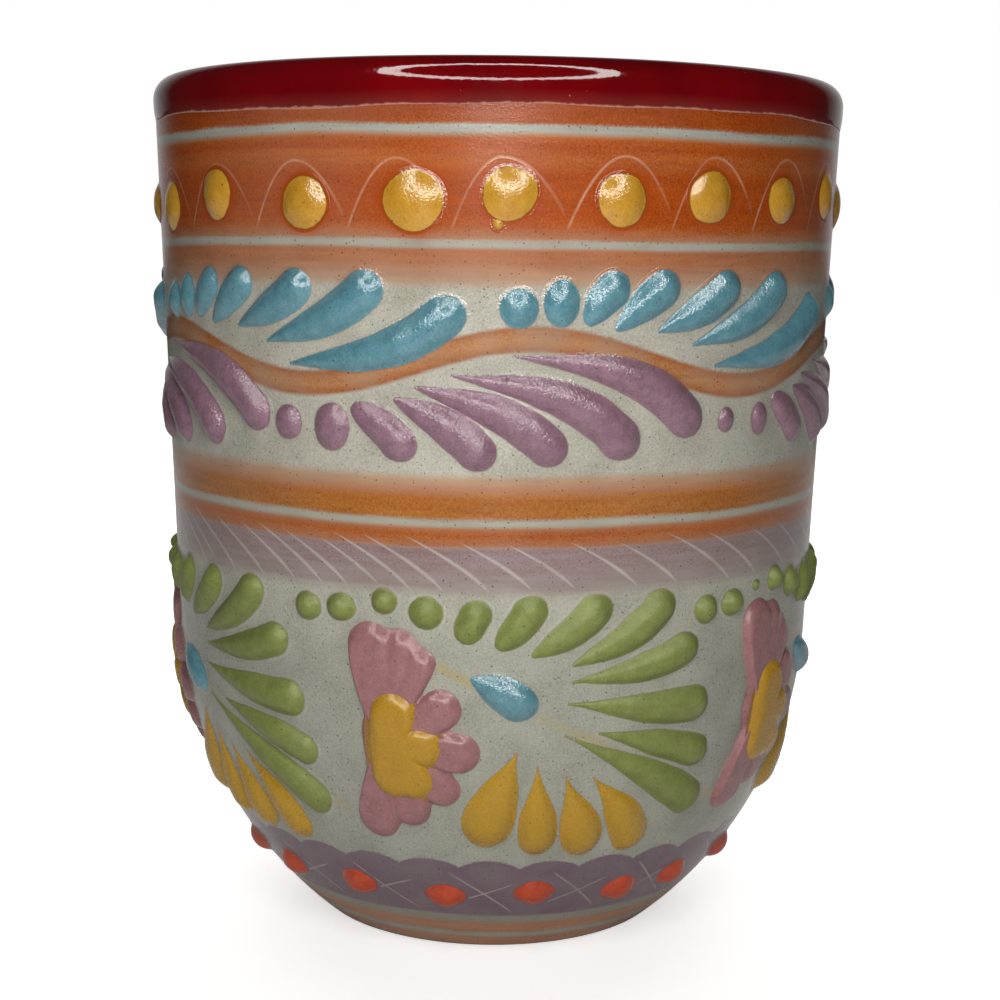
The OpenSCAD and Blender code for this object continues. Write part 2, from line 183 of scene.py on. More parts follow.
# Columns round a dot, a flower, the cup and its two glazes, and rows up the outside of the rim glaze
DOT_COLS, FLOWER_COLS, COLS, RIM_COLS, LINER_COLS, RIM_ROWS = 48, 180, 400, 360, 256, 16


def linear(code):
    """A hex colour in sRGB as linear red, green, blue and a full alpha."""
    c = np.array([int(code[i:i + 2], 16) for i in (1, 3, 5)]) / 255
    return (*np.where(c <= 0.04045, c / 12.92, ((c + 0.055) / 1.055) ** 2.4), 1.0)


def wall(z, h):
    """Radius and height of points h off the clay: off the leaning wall above the belly, off its arc below."""
    tilt = np.arcsin(np.clip((z - BELLY_C[1]) / BELLY_R, -1, 1))
    straight = z > BELLY_H
    r = np.where(straight, BELLY_TOP[0] + (z - BELLY_H) * math.tan(LEAN) + h * WALL_OUT[0],
                 BELLY_C[0] + (BELLY_R + h) * np.cos(tilt))
    up = np.where(straight, z + h * WALL_OUT[1], BELLY_C[1] + (BELLY_R + h) * np.sin(tilt))
    return r, up


def on_cup(x, y, h, turn, mm):
    """Chart millimetres wrapped on the wall.

    x runs round it, at mm to a degree, y is the height and h stands off the clay.
    """
    a = np.radians(x / mm + turn[0])
    r, z = wall(y + turn[1], h)
    return np.stack([r * np.sin(a), -r * np.cos(a), z], -1)


def shell(rings, poles=None, **values):
    """A closed skin over a grid of rings.

    Columns wrap round. The ends close on two pole points, or on each other where there are none. Faces are
    turned so that the skin holds a positive volume. Values are numbers for each point, the poles' ones last.
    """
    rows, cols, _ = rings.shape
    at = np.arange(rows * cols).reshape(rows, cols)
    beside = np.roll(at, -1, 1)
    points = rings.reshape(-1, 3)
    tris = np.zeros((0, 3), int)
    if poles is None:
        quads = np.stack([at, beside, np.roll(beside, -1, 0), np.roll(at, -1, 0)], -1).reshape(-1, 4)
    else:
        quads = np.stack([at[:-1], beside[:-1], beside[1:], at[1:]], -1).reshape(-1, 4)
        points = np.concatenate([points, poles])
        first = np.stack([np.full(cols, rows * cols), beside[0], at[0]], -1)
        last = np.stack([np.full(cols, rows * cols + 1), at[-1], beside[-1]], -1)
        tris = np.concatenate([first, last])
    halves = np.concatenate([quads[:, [0, 1, 2]], quads[:, [0, 2, 3]], tris])
    a, b, c = (points[halves[:, k]] for k in range(3))
    if np.sum(a * np.cross(b, c)) < 0:
        quads, tris = quads[:, ::-1], tris[:, ::-1]
    return points, quads, tris, values


def piece(name, node, material, shells):
    """One object from several skins, in metres, with their values, on the cup in place of a CAD node."""
    before = np.cumsum([0] + [len(s[0]) for s in shells])
    points = np.concatenate([s[0] for s in shells]) / 1000
    quads = np.concatenate([s[1] + n for s, n in zip(shells, before)])
    tris = np.concatenate([s[2] + n for s, n in zip(shells, before)])
    starts = np.concatenate([np.arange(len(quads)) * 4, len(quads) * 4 + np.arange(len(tris)) * 3])
    mesh = bpy.data.meshes.new(name)
    mesh.vertices.add(len(points))
    mesh.vertices.foreach_set("co", points.astype(np.float32).ravel())
    mesh.loops.add(quads.size + tris.size)
    mesh.loops.foreach_set("vertex_index", np.concatenate([quads.ravel(), tris.ravel()]).astype(np.int32))
    mesh.polygons.add(len(starts))
    mesh.polygons.foreach_set("loop_start", starts.astype(np.int32))
    mesh.polygons.foreach_set("use_smooth", np.ones(len(starts), bool))
    mesh.update(calc_edges=True)
    for key in shells[0][3]:
        column = np.concatenate([s[3][key] for s in shells]).astype(np.float32)
        mesh.attributes.new(key, "FLOAT", "POINT").data.foreach_set("value", column)
    mesh.materials.append(material)
    made = bpy.data.objects.new(name, mesh)
    bpy.context.scene.collection.objects.link(made)
    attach(made, "root")
    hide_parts(node)
    return made


def softened(rise, corner):
    """A rise that bends level before it reaches 0: half the sum of it and the root of both squares."""
    return (rise + np.sqrt(rise ** 2 + corner ** 2)) / 2


def crown(q):
    """Height share of a dab by distance share q from its middle: the dome 1 - q^2.4 with a soft corner."""
    return softened(1 - np.abs(q) ** DOME_POWER, DAB_CORNER)


def lumps(x, y, size):
    """Unevenness of hand-laid slip: three sine waves of random direction over the chart, from -1 to 1."""
    way = chance.uniform(0, 2 * math.pi, 3)
    shift = chance.uniform(0, 2 * math.pi, 3)
    turns = 2 * math.pi / (size * chance.uniform(0.7, 1.4, 3))
    waves = [np.sin(turns[k] * (x * math.cos(way[k]) + y * math.sin(way[k])) + shift[k]) for k in range(3)]
    return sum(waves) / 3


def stroke(line, turn, mm, relief, fill=1.0):
    """A trailed stroke: rows across it from tail to round head, each an arch of slip with its underside.

    Half width grows as 1 - (1 - t)^2.3, to the power of the fill, over the way t from the tail, and ends in a
    circle. The middle line bows sideways as t^1.5 (1 - t), scaled to 1 at its peak. Distance share is taken
    across the shaft, and from the head's centre.
    """
    tail, head = np.array([line[0] * mm, line[1]]), np.array([line[2] * mm, line[3]])
    r, bow = line[4], line[5]
    length = np.hypot(*(head - tail))
    along = (head - tail) / length
    left = np.array([-along[1], along[0]])
    s = np.concatenate([
        length * np.linspace(0, 1, SHAFT_ROWS)[1:] ** 1.15,
        length + (r + FILLET) * np.sin(np.radians(np.linspace(0, 84, HEAD_ROWS)[1:]))])[:, None]
    swell = (1 - (1 - np.clip(s / length, 0, 1)) ** 2.3) ** fill
    round_head = np.sqrt(np.clip(r * r - (length - s) ** 2, 0, None))
    wide = np.where(s < length, np.maximum(r * swell, round_head), r)
    wide = wide * (1 + 0.035 * lumps(s, 0 * s, 5))
    skirt = FILLET * (0.3 + 0.7 * np.clip(wide / r, 0, 1))
    beyond = np.clip(s - length, 0, None)
    reach = np.sqrt(np.clip((wide + skirt) ** 2 - beyond ** 2, 0.0004, None))
    t = np.sin(np.radians(np.linspace(-90, 90, STROKE_COLS)))[None, :]
    v = reach * t
    far = np.where(s < length, np.abs(v), np.hypot(beyond, v))
    q = far / wide
    h = relief * np.clip(wide / r, 0, 1) ** 1.2 * crown(q)
    h = h * (1 + 0.05 * lumps(s + 0 * v, v, 4)) + 0.03 * lumps(s + 0 * v, v, 1.7) * crown(q)
    h = np.where(np.abs(t) > 0.999, -EDGE_SINK, h)
    edge = wide - far
    under = reach * np.array([[0.7, 0, -0.7]])
    v = np.concatenate([v, under], 1)
    h = np.concatenate([h, np.full(under.shape, -SINK)], 1)
    edge = np.concatenate([edge, np.full(under.shape, -1.0)], 1)
    way = s / length
    aside = bow * way ** 1.5 * (1 - way) / BOW_PEAK
    mid_x = tail[0] + along[0] * s + left[0] * aside
    mid_y = tail[1] + along[1] * s + left[1] * aside
    slope = bow * (1.5 * way ** 0.5 * (1 - way) - way ** 1.5) / BOW_PEAK / length
    across = np.stack([left[0] - along[0] * slope, left[1] - along[1] * slope], -1)
    across = across / np.linalg.norm(across, axis=-1, keepdims=True)
    rings = on_cup(mid_x + across[..., 0] * v, mid_y + across[..., 1] * v, h, turn, mm)
    nose_s = length + r + FILLET
    nose_aside = bow * (nose_s / length) ** 1.5 * (1 - nose_s / length) / BOW_PEAK
    ends = np.stack([tail, tail + along * nose_s + left * nose_aside], -1)
    poles = on_cup(ends[0], ends[1], np.full(2, -EDGE_SINK), turn, mm)
    return shell(rings, poles, edge_mm=np.concatenate([edge.ravel(), [-0.3, -0.4]]))


def dab(mid, outline, turn, mm, base, height):
    """A dab on a polar grid about its middle: rings at shares of the outline, with one more under it.

    The outline is x and y for each column. Height gives millimetres over the base by share, size and place.
    """
    share = np.concatenate([np.linspace(0, 0.8, 12)[1:], np.linspace(0.8, 1, 10)[1:]])[:, None]
    size = np.hypot(*outline)[None, :]
    share = np.concatenate([share * np.ones_like(size), 1 + FILLET / size * np.linspace(0.15, 1, 7)[:, None]])
    x = mid[0] * mm + share * outline[0]
    y = mid[1] + share * outline[1]
    h = base + height(share, size, x, y)
    h[-1] = base - EDGE_SINK
    edge = (1 - share) * size
    x = np.concatenate([x, x[-1:] * 0.5 + mid[0] * mm * 0.5])
    y = np.concatenate([y, y[-1:] * 0.5 + mid[1] * 0.5])
    h = np.concatenate([h, np.full((1, h.shape[1]), base - SINK)])
    edge = np.concatenate([edge, np.full((1, h.shape[1]), -1.0)])
    ends = np.array([h[0].mean(), base - SINK])
    poles = on_cup(np.full(2, mid[0] * mm), np.full(2, mid[1]), ends, turn, mm)
    return shell(on_cup(x, y, h, turn, mm), poles, edge_mm=np.concatenate([edge.ravel(), [size.min(), -1.0]]))


def dot(line, turn, mm, relief, pinch=0.0, uneven=1.0):
    """A round dot: an ellipse with a rippled outline, pinched to points left and right where asked."""
    a = np.radians(np.arange(DOT_COLS) * 360 / DOT_COLS)
    ripple = sum(chance.uniform(0.01, 0.03) * uneven / k * np.sin(k * a + chance.uniform(0, 6.28))
                 for k in (2, 3, 4, 5))
    bow = (1 + ripple) * (1 - pinch * np.sin(a) ** 2 * np.abs(np.cos(a)))
    outline = np.stack([line[2] * bow * np.cos(a), line[3] * bow * np.sin(a)])

    def height(share, size, x, y):
        return relief * crown(share) * (1 + 0.03 * lumps(x, y, 5) + 0.012 * lumps(x, y, 1.8))

    return dab(line[:2], outline, turn, mm, 0.0, height)


def blossom(mid, lobes, spine, notches, turn, base, relief):
    """A flat flower of joined lobes: its edge is how far the farthest round lobe reaches in each direction.

    More lobes lie close together along its spine, so that side is nearly straight. Height rises from the edge
    as a dome and stays level, and a crease runs in from every notch.
    """
    a = np.radians(np.arange(FLOWER_COLS) * 360 / FLOWER_COLS)[:, None]
    spine = np.array(spine)
    step = np.linspace(0, len(spine) - 1, 25)
    spine = np.stack([np.interp(step, np.arange(len(spine)), spine[:, k]) for k in range(3)], -1)
    lobes = np.concatenate([lobes, spine])
    c = np.array([[(x - mid[0]) * LOWER_MM, y - mid[1]] for x, y, _ in lobes])
    r = np.array([lobe[2] for lobe in lobes])
    d = np.hypot(c[:, 0], c[:, 1])
    t = np.arctan2(c[:, 1], c[:, 0]) - a
    off = d * np.sin(t)
    meets = (np.abs(off) < r) & ((d < r) | (np.cos(t) > 0))
    far = np.where(meets, d * np.cos(t) + np.sqrt(np.clip(r * r - off ** 2, 0, None)), 0).max(1)
    far = (np.roll(far, 1) + 2 * far + np.roll(far, -1)) / 4
    outline = np.stack([far * np.cos(a[:, 0]), far * np.sin(a[:, 0])])
    crease = np.array([math.atan2(y - mid[1], (x - mid[0]) * LOWER_MM) for x, y, _ in notches])
    depth = np.array([notch[2] for notch in notches])

    def height(share, size, x, y):
        inside = (1 - share) * size
        dome = 1 - np.clip(1 - inside / FLOWER_EDGE, 0, 1) ** DOME_POWER
        dome = np.where(inside > 0, dome, DOME_POWER / FLOWER_EDGE * inside)
        away = (a[:, 0][None, :, None] - crease + math.pi) % (2 * math.pi) - math.pi
        apart = np.sin(np.clip(np.abs(away), 0, math.pi / 2)) * (share * size)[:, :, None]
        fold = (depth * np.exp(-(apart / CREASE_W) ** 2)).max(2) * np.clip(share * 2.2 - 0.9, 0, 1)
        rise = relief * softened(dome, FLOWER_CORNER) * (1 - fold)
        return rise * (1 + 0.04 * lumps(x, y, 6) + 0.015 * lumps(x, y, 2))

    return dab(mid, outline, turn, LOWER_MM, base, height)


def turned(profile, cols):
    """A profile of radius and height carried round the axis, closed on itself or on the axis at both ends."""
    a = np.radians(np.arange(cols) * 360 / cols - 180)
    on_axis = profile[0, 0] < 1e-6
    rows = profile[1:-1] if on_axis else profile
    rings = np.stack([rows[:, :1] * np.sin(a), -rows[:, :1] * np.cos(a), rows[:, 1:] + 0 * a], -1)
    poles = np.array([[0, 0, profile[0, 1]], [0, 0, profile[-1, 1]]]) if on_axis else None
    return rings, poles


def arc(middle, radius, start, end, steps):
    """Points of an arc between two angles in degrees."""
    a = np.radians(np.linspace(start, end, steps))
    return middle + radius * np.stack([np.cos(a), np.sin(a)], -1)


def put(tree, kind, *feeds, sockets=None, **settings):
    """Add one shader node with its settings and links.

    Settings go on the node, feeds fill its inputs in order and sockets fill them by name. A feed is a node,
    for its first output, an output or a plain value.
    """
    made = tree.nodes.new("ShaderNode" + kind)
    for key, value in settings.items():
        setattr(made, key, value)
    wanted = dict(enumerate(feeds))
    wanted.update(sockets or {})
    for key, feed in wanted.items():
        feed = feed.outputs[0] if isinstance(feed, bpy.types.Node) else feed
        if isinstance(feed, bpy.types.NodeSocket):
            tree.links.new(feed, made.inputs[key])
        else:
            made.inputs[key].default_value = feed
    return made


def blank(name):
    """A new material with no nodes, and its empty tree."""
    made = bpy.data.materials.new(name)
    made.use_nodes = True
    made.node_tree.nodes.clear()
    return made, made.node_tree


def per(mm):
    """Texture scale for a pattern of one repeat in so many millimetres, on coordinates in metres."""
    return 1000 / mm


def coat(name, body, shade, line, roughness, pits):
    """Red or cream glaze, dipped or poured on and fired to a deep gloss.

    It pools a little, so its colour is deeper in places. A few pinholes and dust grains break it, and the
    thin edge where it stops on the wall shows as a pale line.
    """
    material, t = blank(name)
    where = put(t, "TexCoord").outputs["Object"]
    glaze_pool_and_foot_shade = put(t, "TexNoise", sockets={"Vector": where, "Scale": per(14.0), "Detail": 3.0})
    ripple = put(t, "TexNoise", sockets={"Vector": where, "Scale": per(1.1), "Detail": 2.0})
    cells = put(t, "TexVoronoi", sockets={"Vector": where, "Scale": per(2.2)})
    small = put(t, "Math", cells.outputs["Color"], pits, operation="MULTIPLY")
    pit = put(t, "Math", cells.outputs["Distance"], small, operation="LESS_THAN")
    blend = put(t, "MapRange", glaze_pool_and_foot_shade, 0.35, 0.65, 0.0, 1.0)
    colour = put(t, "Mix", data_type="RGBA", sockets={0: blend, 6: linear(shade), 7: linear(body)}).outputs[2]
    edge = put(t, "Attribute", attribute_name="edge_mm").outputs["Fac"]
    edge = put(t, "Math", ripple, 0.5, edge, operation="MULTIPLY_ADD")
    thin = put(t, "MapRange", edge, 0.34, 0.56, 0.9, 0.0, interpolation_type="SMOOTHSTEP")
    haze = put(t, "MapRange", edge, 0.5, 2.0, 0.06, 0.0)
    colour = put(t, "Mix", data_type="RGBA", sockets={0: haze, 6: colour, 7: linear(line)}).outputs[2]
    colour = put(t, "Mix", data_type="RGBA", sockets={0: thin, 6: colour, 7: linear(line)}).outputs[2]
    colour = put(t, "Mix", data_type="RGBA", sockets={0: pit, 6: colour, 7: linear("#B0705E")}).outputs[2]
    rough = put(t, "MapRange", ripple, 0.3, 0.7, roughness, roughness + 0.05)
    bump = put(t, "Bump", sockets={"Strength": 0.12, "Distance": 0.00015, "Height": ripple})
    shader = put(t, "BsdfPrincipled",
                 sockets={"Base Color": colour, "Roughness": rough, "Normal": bump, "IOR": 1.52})
    put(t, "OutputMaterial", shader)
    return material


# Brushed bands from below upwards: height, colour and how far the slip covers the ground there
LOW_BANDS = [
    [0.4, "#936A51", 0.95], [0.7, "#BF8458", 0.95], [2.2, "#BF8458", 0.95], [2.4, "#8C8674", 0.2],
    [3.1, "#8C8674", 0.2], [3.3, "#BF8458", 0.95], [5.0, "#BF8458", 0.95], [5.4, "#8C8C7C", 0.6],
    [6.3, "#8C8C7C", 0.6], [6.7, "#8C8C7C", 0.0], [48.0, "#9F8A8F", 0.0], [49.4, "#9F8A8F", 0.7],
    [51.5, "#9D878C", 0.85], [53.6, "#9D878C", 0.95], [54.3, "#9D878C", 0.0],
]
HIGH_BANDS = [
    [53.6, "#B8682C", 0.0], [54.1, "#B8682C", 0.85], [55.2, "#BA6422", 1.0], [55.9, "#B8682C", 0.9],
    [56.4, "#B0B4A8", 0.55], [56.8, "#B0B4A8", 0.55], [57.2, "#BC7830", 1.0], [59.3, "#BC742C", 1.0],
    [60.2, "#C4793F", 0.8], [61.4, "#C8925E", 0.6], [62.2, "#C8925E", 0.0], [82.0, "#C4824A", 0.0],
    [82.9, "#C4824A", 0.55], [83.8, "#C4783F", 0.68], [85.0, "#BC6A2C", 0.85], [86.4, "#BE6C34", 0.9],
    [86.75, "#B0B2A8", 0.6], [87.3, "#B0B2A8", 0.6], [87.6, "#BE713A", 0.8], [88.9, "#BE6222", 1.0],
    [89.8, "#BC540A", 1.0], [91.5, "#B85208", 1.0], [94.6, "#B85208", 1.0], [95.6, "#C26628", 1.0],
    [96.6, "#C26628", 1.0], [97.4, "#BA540A", 1.0], [98.3, "#BE6222", 1.0], [98.7, "#BC8458", 0.7],
    [98.95, "#B2B8B2", 0.75], [99.55, "#B2B8B2", 0.75], [99.8, "#B4560E", 1.0], [101.0, "#AA4A06", 1.0],
]
# Heights that the two lists of bands lie between
LOW_SPAN, HIGH_SPAN = (0.0, 54.5), (53.5, 102.0)
# Wavy ribbon: waves round the cup, angle of a crest, height of its middle and swing
WAVES, CREST_A, RIBBON_Z, RIBBON_SWING = 5.0, 6, 74.1, 2.7
# Purple base: number of scallops, height between them, how far they rise, and where its lower edge fades
SCALLOPS, SCALLOP_Z, SCALLOP_H, PURPLE_FOOT = 30, 14.3, 1.2, (6.2, 6.7)
# Scratched arches: height of the tops and its change to either side, depth, and reach to the right and left
ARCH_Z, ARCH_TILT, ARCH_H, ARCH_RIGHT, ARCH_LEFT = 96.3, 0.8, 7.0, 0.54, 0.446
# Where the feet of the arches fade, and the lowest and the highest end of a hatch line
ARCH_FOOT, HATCH_LOW, HATCH_HIGH = (88.4, 89.4), 48.5, 55.3
# Scratched crosses: height of the middle, spacing, and slopes of the falling and of the rising line
CROSS_Z, CROSS_SPACE, CROSS_FALL, CROSS_RISE = 10.3, 10.8, 0.93, 0.48


def wheel_painting(t):
    """Pale ground with brushed bands, the wavy ribbon and the scalloped base, from height and angle alone.

    The ground is warm grey-cream and sandy. Bands are brushed on the wheel, so they are streaky along the
    brush, grainy where the ground shows through and soft at the edges.
    """
    where = put(t, "TexCoord").outputs["Object"]
    place = put(t, "SeparateXYZ", where)
    front = put(t, "Math", place.outputs["Y"], -1.0, operation="MULTIPLY")
    angle = put(t, "Math", place.outputs["X"], front, operation="ARCTAN2")
    tall = put(t, "Math", place.outputs["Z"], 1000.0, operation="MULTIPLY")
    grain = put(t, "TexNoise", sockets={"Vector": where, "Scale": per(0.24), "Detail": 2.0, "Roughness": 0.6})
    mottle = put(t, "TexNoise", sockets={"Vector": where, "Scale": per(5.0), "Detail": 3.0})
    sway = put(t, "TexNoise", sockets={"Vector": where, "Scale": per(28.0), "Detail": 1.0})
    brush = put(t, "Mapping", where, sockets={"Scale": (1.0, 1.0, 12.0)})
    streak = put(t, "TexNoise", sockets={"Vector": brush, "Scale": per(9.0), "Detail": 4.0, "Roughness": 0.6})

    # Height with the waver of a hand-held brush and the fray of its hairs
    waver = put(t, "Math", sway, 0.9, tall, operation="MULTIPLY_ADD")
    waver = put(t, "Math", streak, 0.4, waver, operation="MULTIPLY_ADD")
    waver = put(t, "Math", grain, 0.3, waver, operation="MULTIPLY_ADD")
    waver = put(t, "Math", waver, 0.8, operation="SUBTRACT")

    # Pale ground; lower down it is greener, and darker as painted shade
    tone = put(t, "Math", grain, 1.4, mottle, operation="MULTIPLY_ADD")
    tone = put(t, "MapRange", tone, 0.9, 1.5, 0.0, 1.0)
    ground = put(t, "Mix", data_type="RGBA",
                 sockets={0: tone, 6: linear("#A9A697"), 7: linear("#CAC8BB")}).outputs[2]
    low = put(t, "MapRange", tall, 36.0, 55.0, 1.0, 0.0, interpolation_type="SMOOTHSTEP")
    greener_shaded_ground = put(t, "Mix", data_type="RGBA",
               sockets={0: tone, 6: linear("#9A9B8E"), 7: linear("#B4B6A9")}).outputs[2]
    colour = put(t, "Mix", data_type="RGBA", sockets={0: low, 6: ground, 7: greener_shaded_ground}).outputs[2]

    # Brushed bands, thin in places
    thin = put(t, "MapRange", grain, 0.36, 0.56, 0.94, 1.0)
    thin = put(t, "Math", thin, put(t, "MapRange", sway, 0.35, 0.6, 0.92, 1.0), operation="MULTIPLY")
    deep = put(t, "Math", grain, 0.7, operation="MULTIPLY")
    deep = put(t, "Math", streak, 0.6, deep, operation="MULTIPLY_ADD")
    deep = put(t, "MapRange", deep, 0.5, 0.85, 0.0, 0.58)
    for bands, (low_end, high_end) in ((LOW_BANDS, LOW_SPAN), (HIGH_BANDS, HIGH_SPAN)):
        share = put(t, "MapRange", waver, low_end, high_end, 0.0, 1.0)
        ramp = put(t, "ValToRGB", share)
        stops = ramp.color_ramp.elements
        stops.remove(stops[1])
        for row, (height, slip, cover) in enumerate(bands):
            place_on = (height - low_end) / (high_end - low_end)
            stop = stops.new(place_on) if row else stops[0]
            stop.position = place_on
            stop.color = (*linear(slip)[:3], cover)
        cover = put(t, "Math", ramp.outputs["Alpha"], thin, operation="MULTIPLY")
        slip = put(t, "Mix", data_type="RGBA", blend_type="MULTIPLY",
                   sockets={0: deep, 6: ramp.outputs["Color"], 7: linear("#B88860")}).outputs[2]
        colour = put(t, "Mix", data_type="RGBA", sockets={0: cover, 6: colour, 7: slip}).outputs[2]

    # Wavy ribbon between the feathers: five waves round the cup
    wave = put(t, "Math", angle, WAVES, math.radians(-WAVES * CREST_A), operation="MULTIPLY_ADD")
    wave = put(t, "Math", wave, operation="COSINE")
    wave = put(t, "Math", wave, RIBBON_SWING, RIBBON_Z, operation="MULTIPLY_ADD")
    off = put(t, "Math", waver, wave, operation="SUBTRACT")
    off = put(t, "Math", off, operation="ABSOLUTE")
    ribbon = put(t, "MapRange", off, 1.1, 1.7, 1.0, 0.0, interpolation_type="SMOOTHSTEP")
    worn = put(t, "Math", put(t, "MapRange", mottle, 0.35, 0.65, 0.75, 1.0), thin, operation="MULTIPLY")
    ribbon = put(t, "Math", ribbon, worn, operation="MULTIPLY")
    lane = put(t, "MapRange", off, 0.3, 1.3, 0.0, 1.0)
    peach = put(t, "Mix", data_type="RGBA",
                sockets={0: lane, 6: linear("#C4854E"), 7: linear("#B0622A")}).outputs[2]
    peach = put(t, "Mix", data_type="RGBA", blend_type="MULTIPLY",
                sockets={0: deep, 6: peach, 7: linear("#B89474")}).outputs[2]
    colour = put(t, "Mix", data_type="RGBA", sockets={0: ribbon, 6: colour, 7: peach}).outputs[2]

    # Purple base band with scallops along its top: two to each wave of a cosine without its sign
    scallop = put(t, "Math", angle, SCALLOPS / 2, operation="MULTIPLY")
    scallop = put(t, "Math", scallop, operation="COSINE")
    scallop = put(t, "Math", scallop, operation="ABSOLUTE")
    scallop = put(t, "Math", scallop, 0.7, operation="POWER")
    edge = put(t, "Math", scallop, SCALLOP_H, SCALLOP_Z, operation="MULTIPLY_ADD")
    below = put(t, "Math", edge, waver, operation="SUBTRACT")
    below = put(t, "MapRange", below, -0.15, 0.2, 0.0, 1.0, interpolation_type="SMOOTHSTEP")
    above = put(t, "MapRange", waver, *PURPLE_FOOT, 0.0, 1.0, interpolation_type="SMOOTHSTEP")
    purple = put(t, "Math", below, above, operation="MULTIPLY")
    purple = put(t, "Math", purple, put(t, "MapRange", mottle, 0.3, 0.7, 0.72, 0.98), operation="MULTIPLY")
    colour = put(t, "Mix", data_type="RGBA", sockets={0: purple, 6: colour, 7: linear("#745B6D")}).outputs[2]
    return dict(where=where, angle=angle, tall=tall, grain=grain, mottle=mottle, streak=streak, tone=tone,
                colour=colour)


def raised_slip(name, body, shade, roughness, under=None, ior=1.9, line=0.25, grit=0.055):
    """Coloured clay slip, trailed on and fired under clear glaze.

    The slip is sandy, so its colour is mottled and its gloss breaks into grains. Dark specks burn through,
    and at the foot of each dab the clear glaze fills the corner and shows what is painted under it. A thin
    dark line of painted shade, as strong as line, runs round the foot of each dab.
    """
    material, t = blank(name)
    painted = wheel_painting(t)
    where = painted["where"]
    mottle = put(t, "TexNoise",
                 sockets={"Vector": where, "Scale": per(1.6), "Detail": 3.0, "Roughness": 0.65})
    grain = put(t, "TexNoise",
                sockets={"Vector": where, "Scale": per(0.26), "Detail": 1.5, "Roughness": 0.6})
    cells = put(t, "TexVoronoi", sockets={"Vector": where, "Scale": per(0.8)})
    small = put(t, "Math", cells.outputs["Color"], 0.16, operation="MULTIPLY")
    speck = put(t, "Math", cells.outputs["Distance"], small, operation="LESS_THAN")
    speck = put(t, "Math", speck, 0.7, operation="MULTIPLY")
    blend = put(t, "Math", mottle, put(t, "Math", grain, 0.8, operation="MULTIPLY"), operation="ADD")
    blend = put(t, "MapRange", blend, 0.65, 1.15, 0.0, 1.0)
    colour = put(t, "Mix", data_type="RGBA", sockets={0: blend, 6: linear(shade), 7: linear(body)}).outputs[2]
    edge = put(t, "Attribute", attribute_name="edge_mm").outputs["Fac"]
    edge = put(t, "Math", edge, put(t, "Math", mottle, 0.3, operation="MULTIPLY"), operation="ADD")
    bare = put(t, "MapRange", edge, -0.02, 0.12, 1.0, 0.0, interpolation_type="SMOOTHSTEP")
    below = linear(under) if under else painted["colour"]
    colour = put(t, "Mix", data_type="RGBA", sockets={0: bare, 6: colour, 7: below}).outputs[2]
    # Painted shade: a thin dark line round the foot of each dab, where it meets the wall
    glaze_pool_and_foot_shade = put(t, "Math", put(t, "Math", edge, 0.03, operation="SUBTRACT"), operation="ABSOLUTE")
    glaze_pool_and_foot_shade = put(t, "MapRange", glaze_pool_and_foot_shade, 0.03, 0.14, line, 0.0, interpolation_type="SMOOTHSTEP")
    colour = put(t, "Mix", data_type="RGBA", sockets={0: glaze_pool_and_foot_shade, 6: colour, 7: linear("#5A2C14")}).outputs[2]
    colour = put(t, "Mix", data_type="RGBA", sockets={0: speck, 6: colour, 7: linear("#3A2C20")}).outputs[2]
    rough = put(t, "MapRange", grain, 0.3, 0.7, roughness - 0.03, roughness + 0.06)
    bump = put(t, "Bump", sockets={"Strength": 1.0, "Distance": grit / 1000, "Height": grain})
    shader = put(t, "BsdfPrincipled",
                 sockets={"Base Color": colour, "Roughness": rough, "Normal": bump, "IOR": ior})
    put(t, "OutputMaterial", shader)
    return material


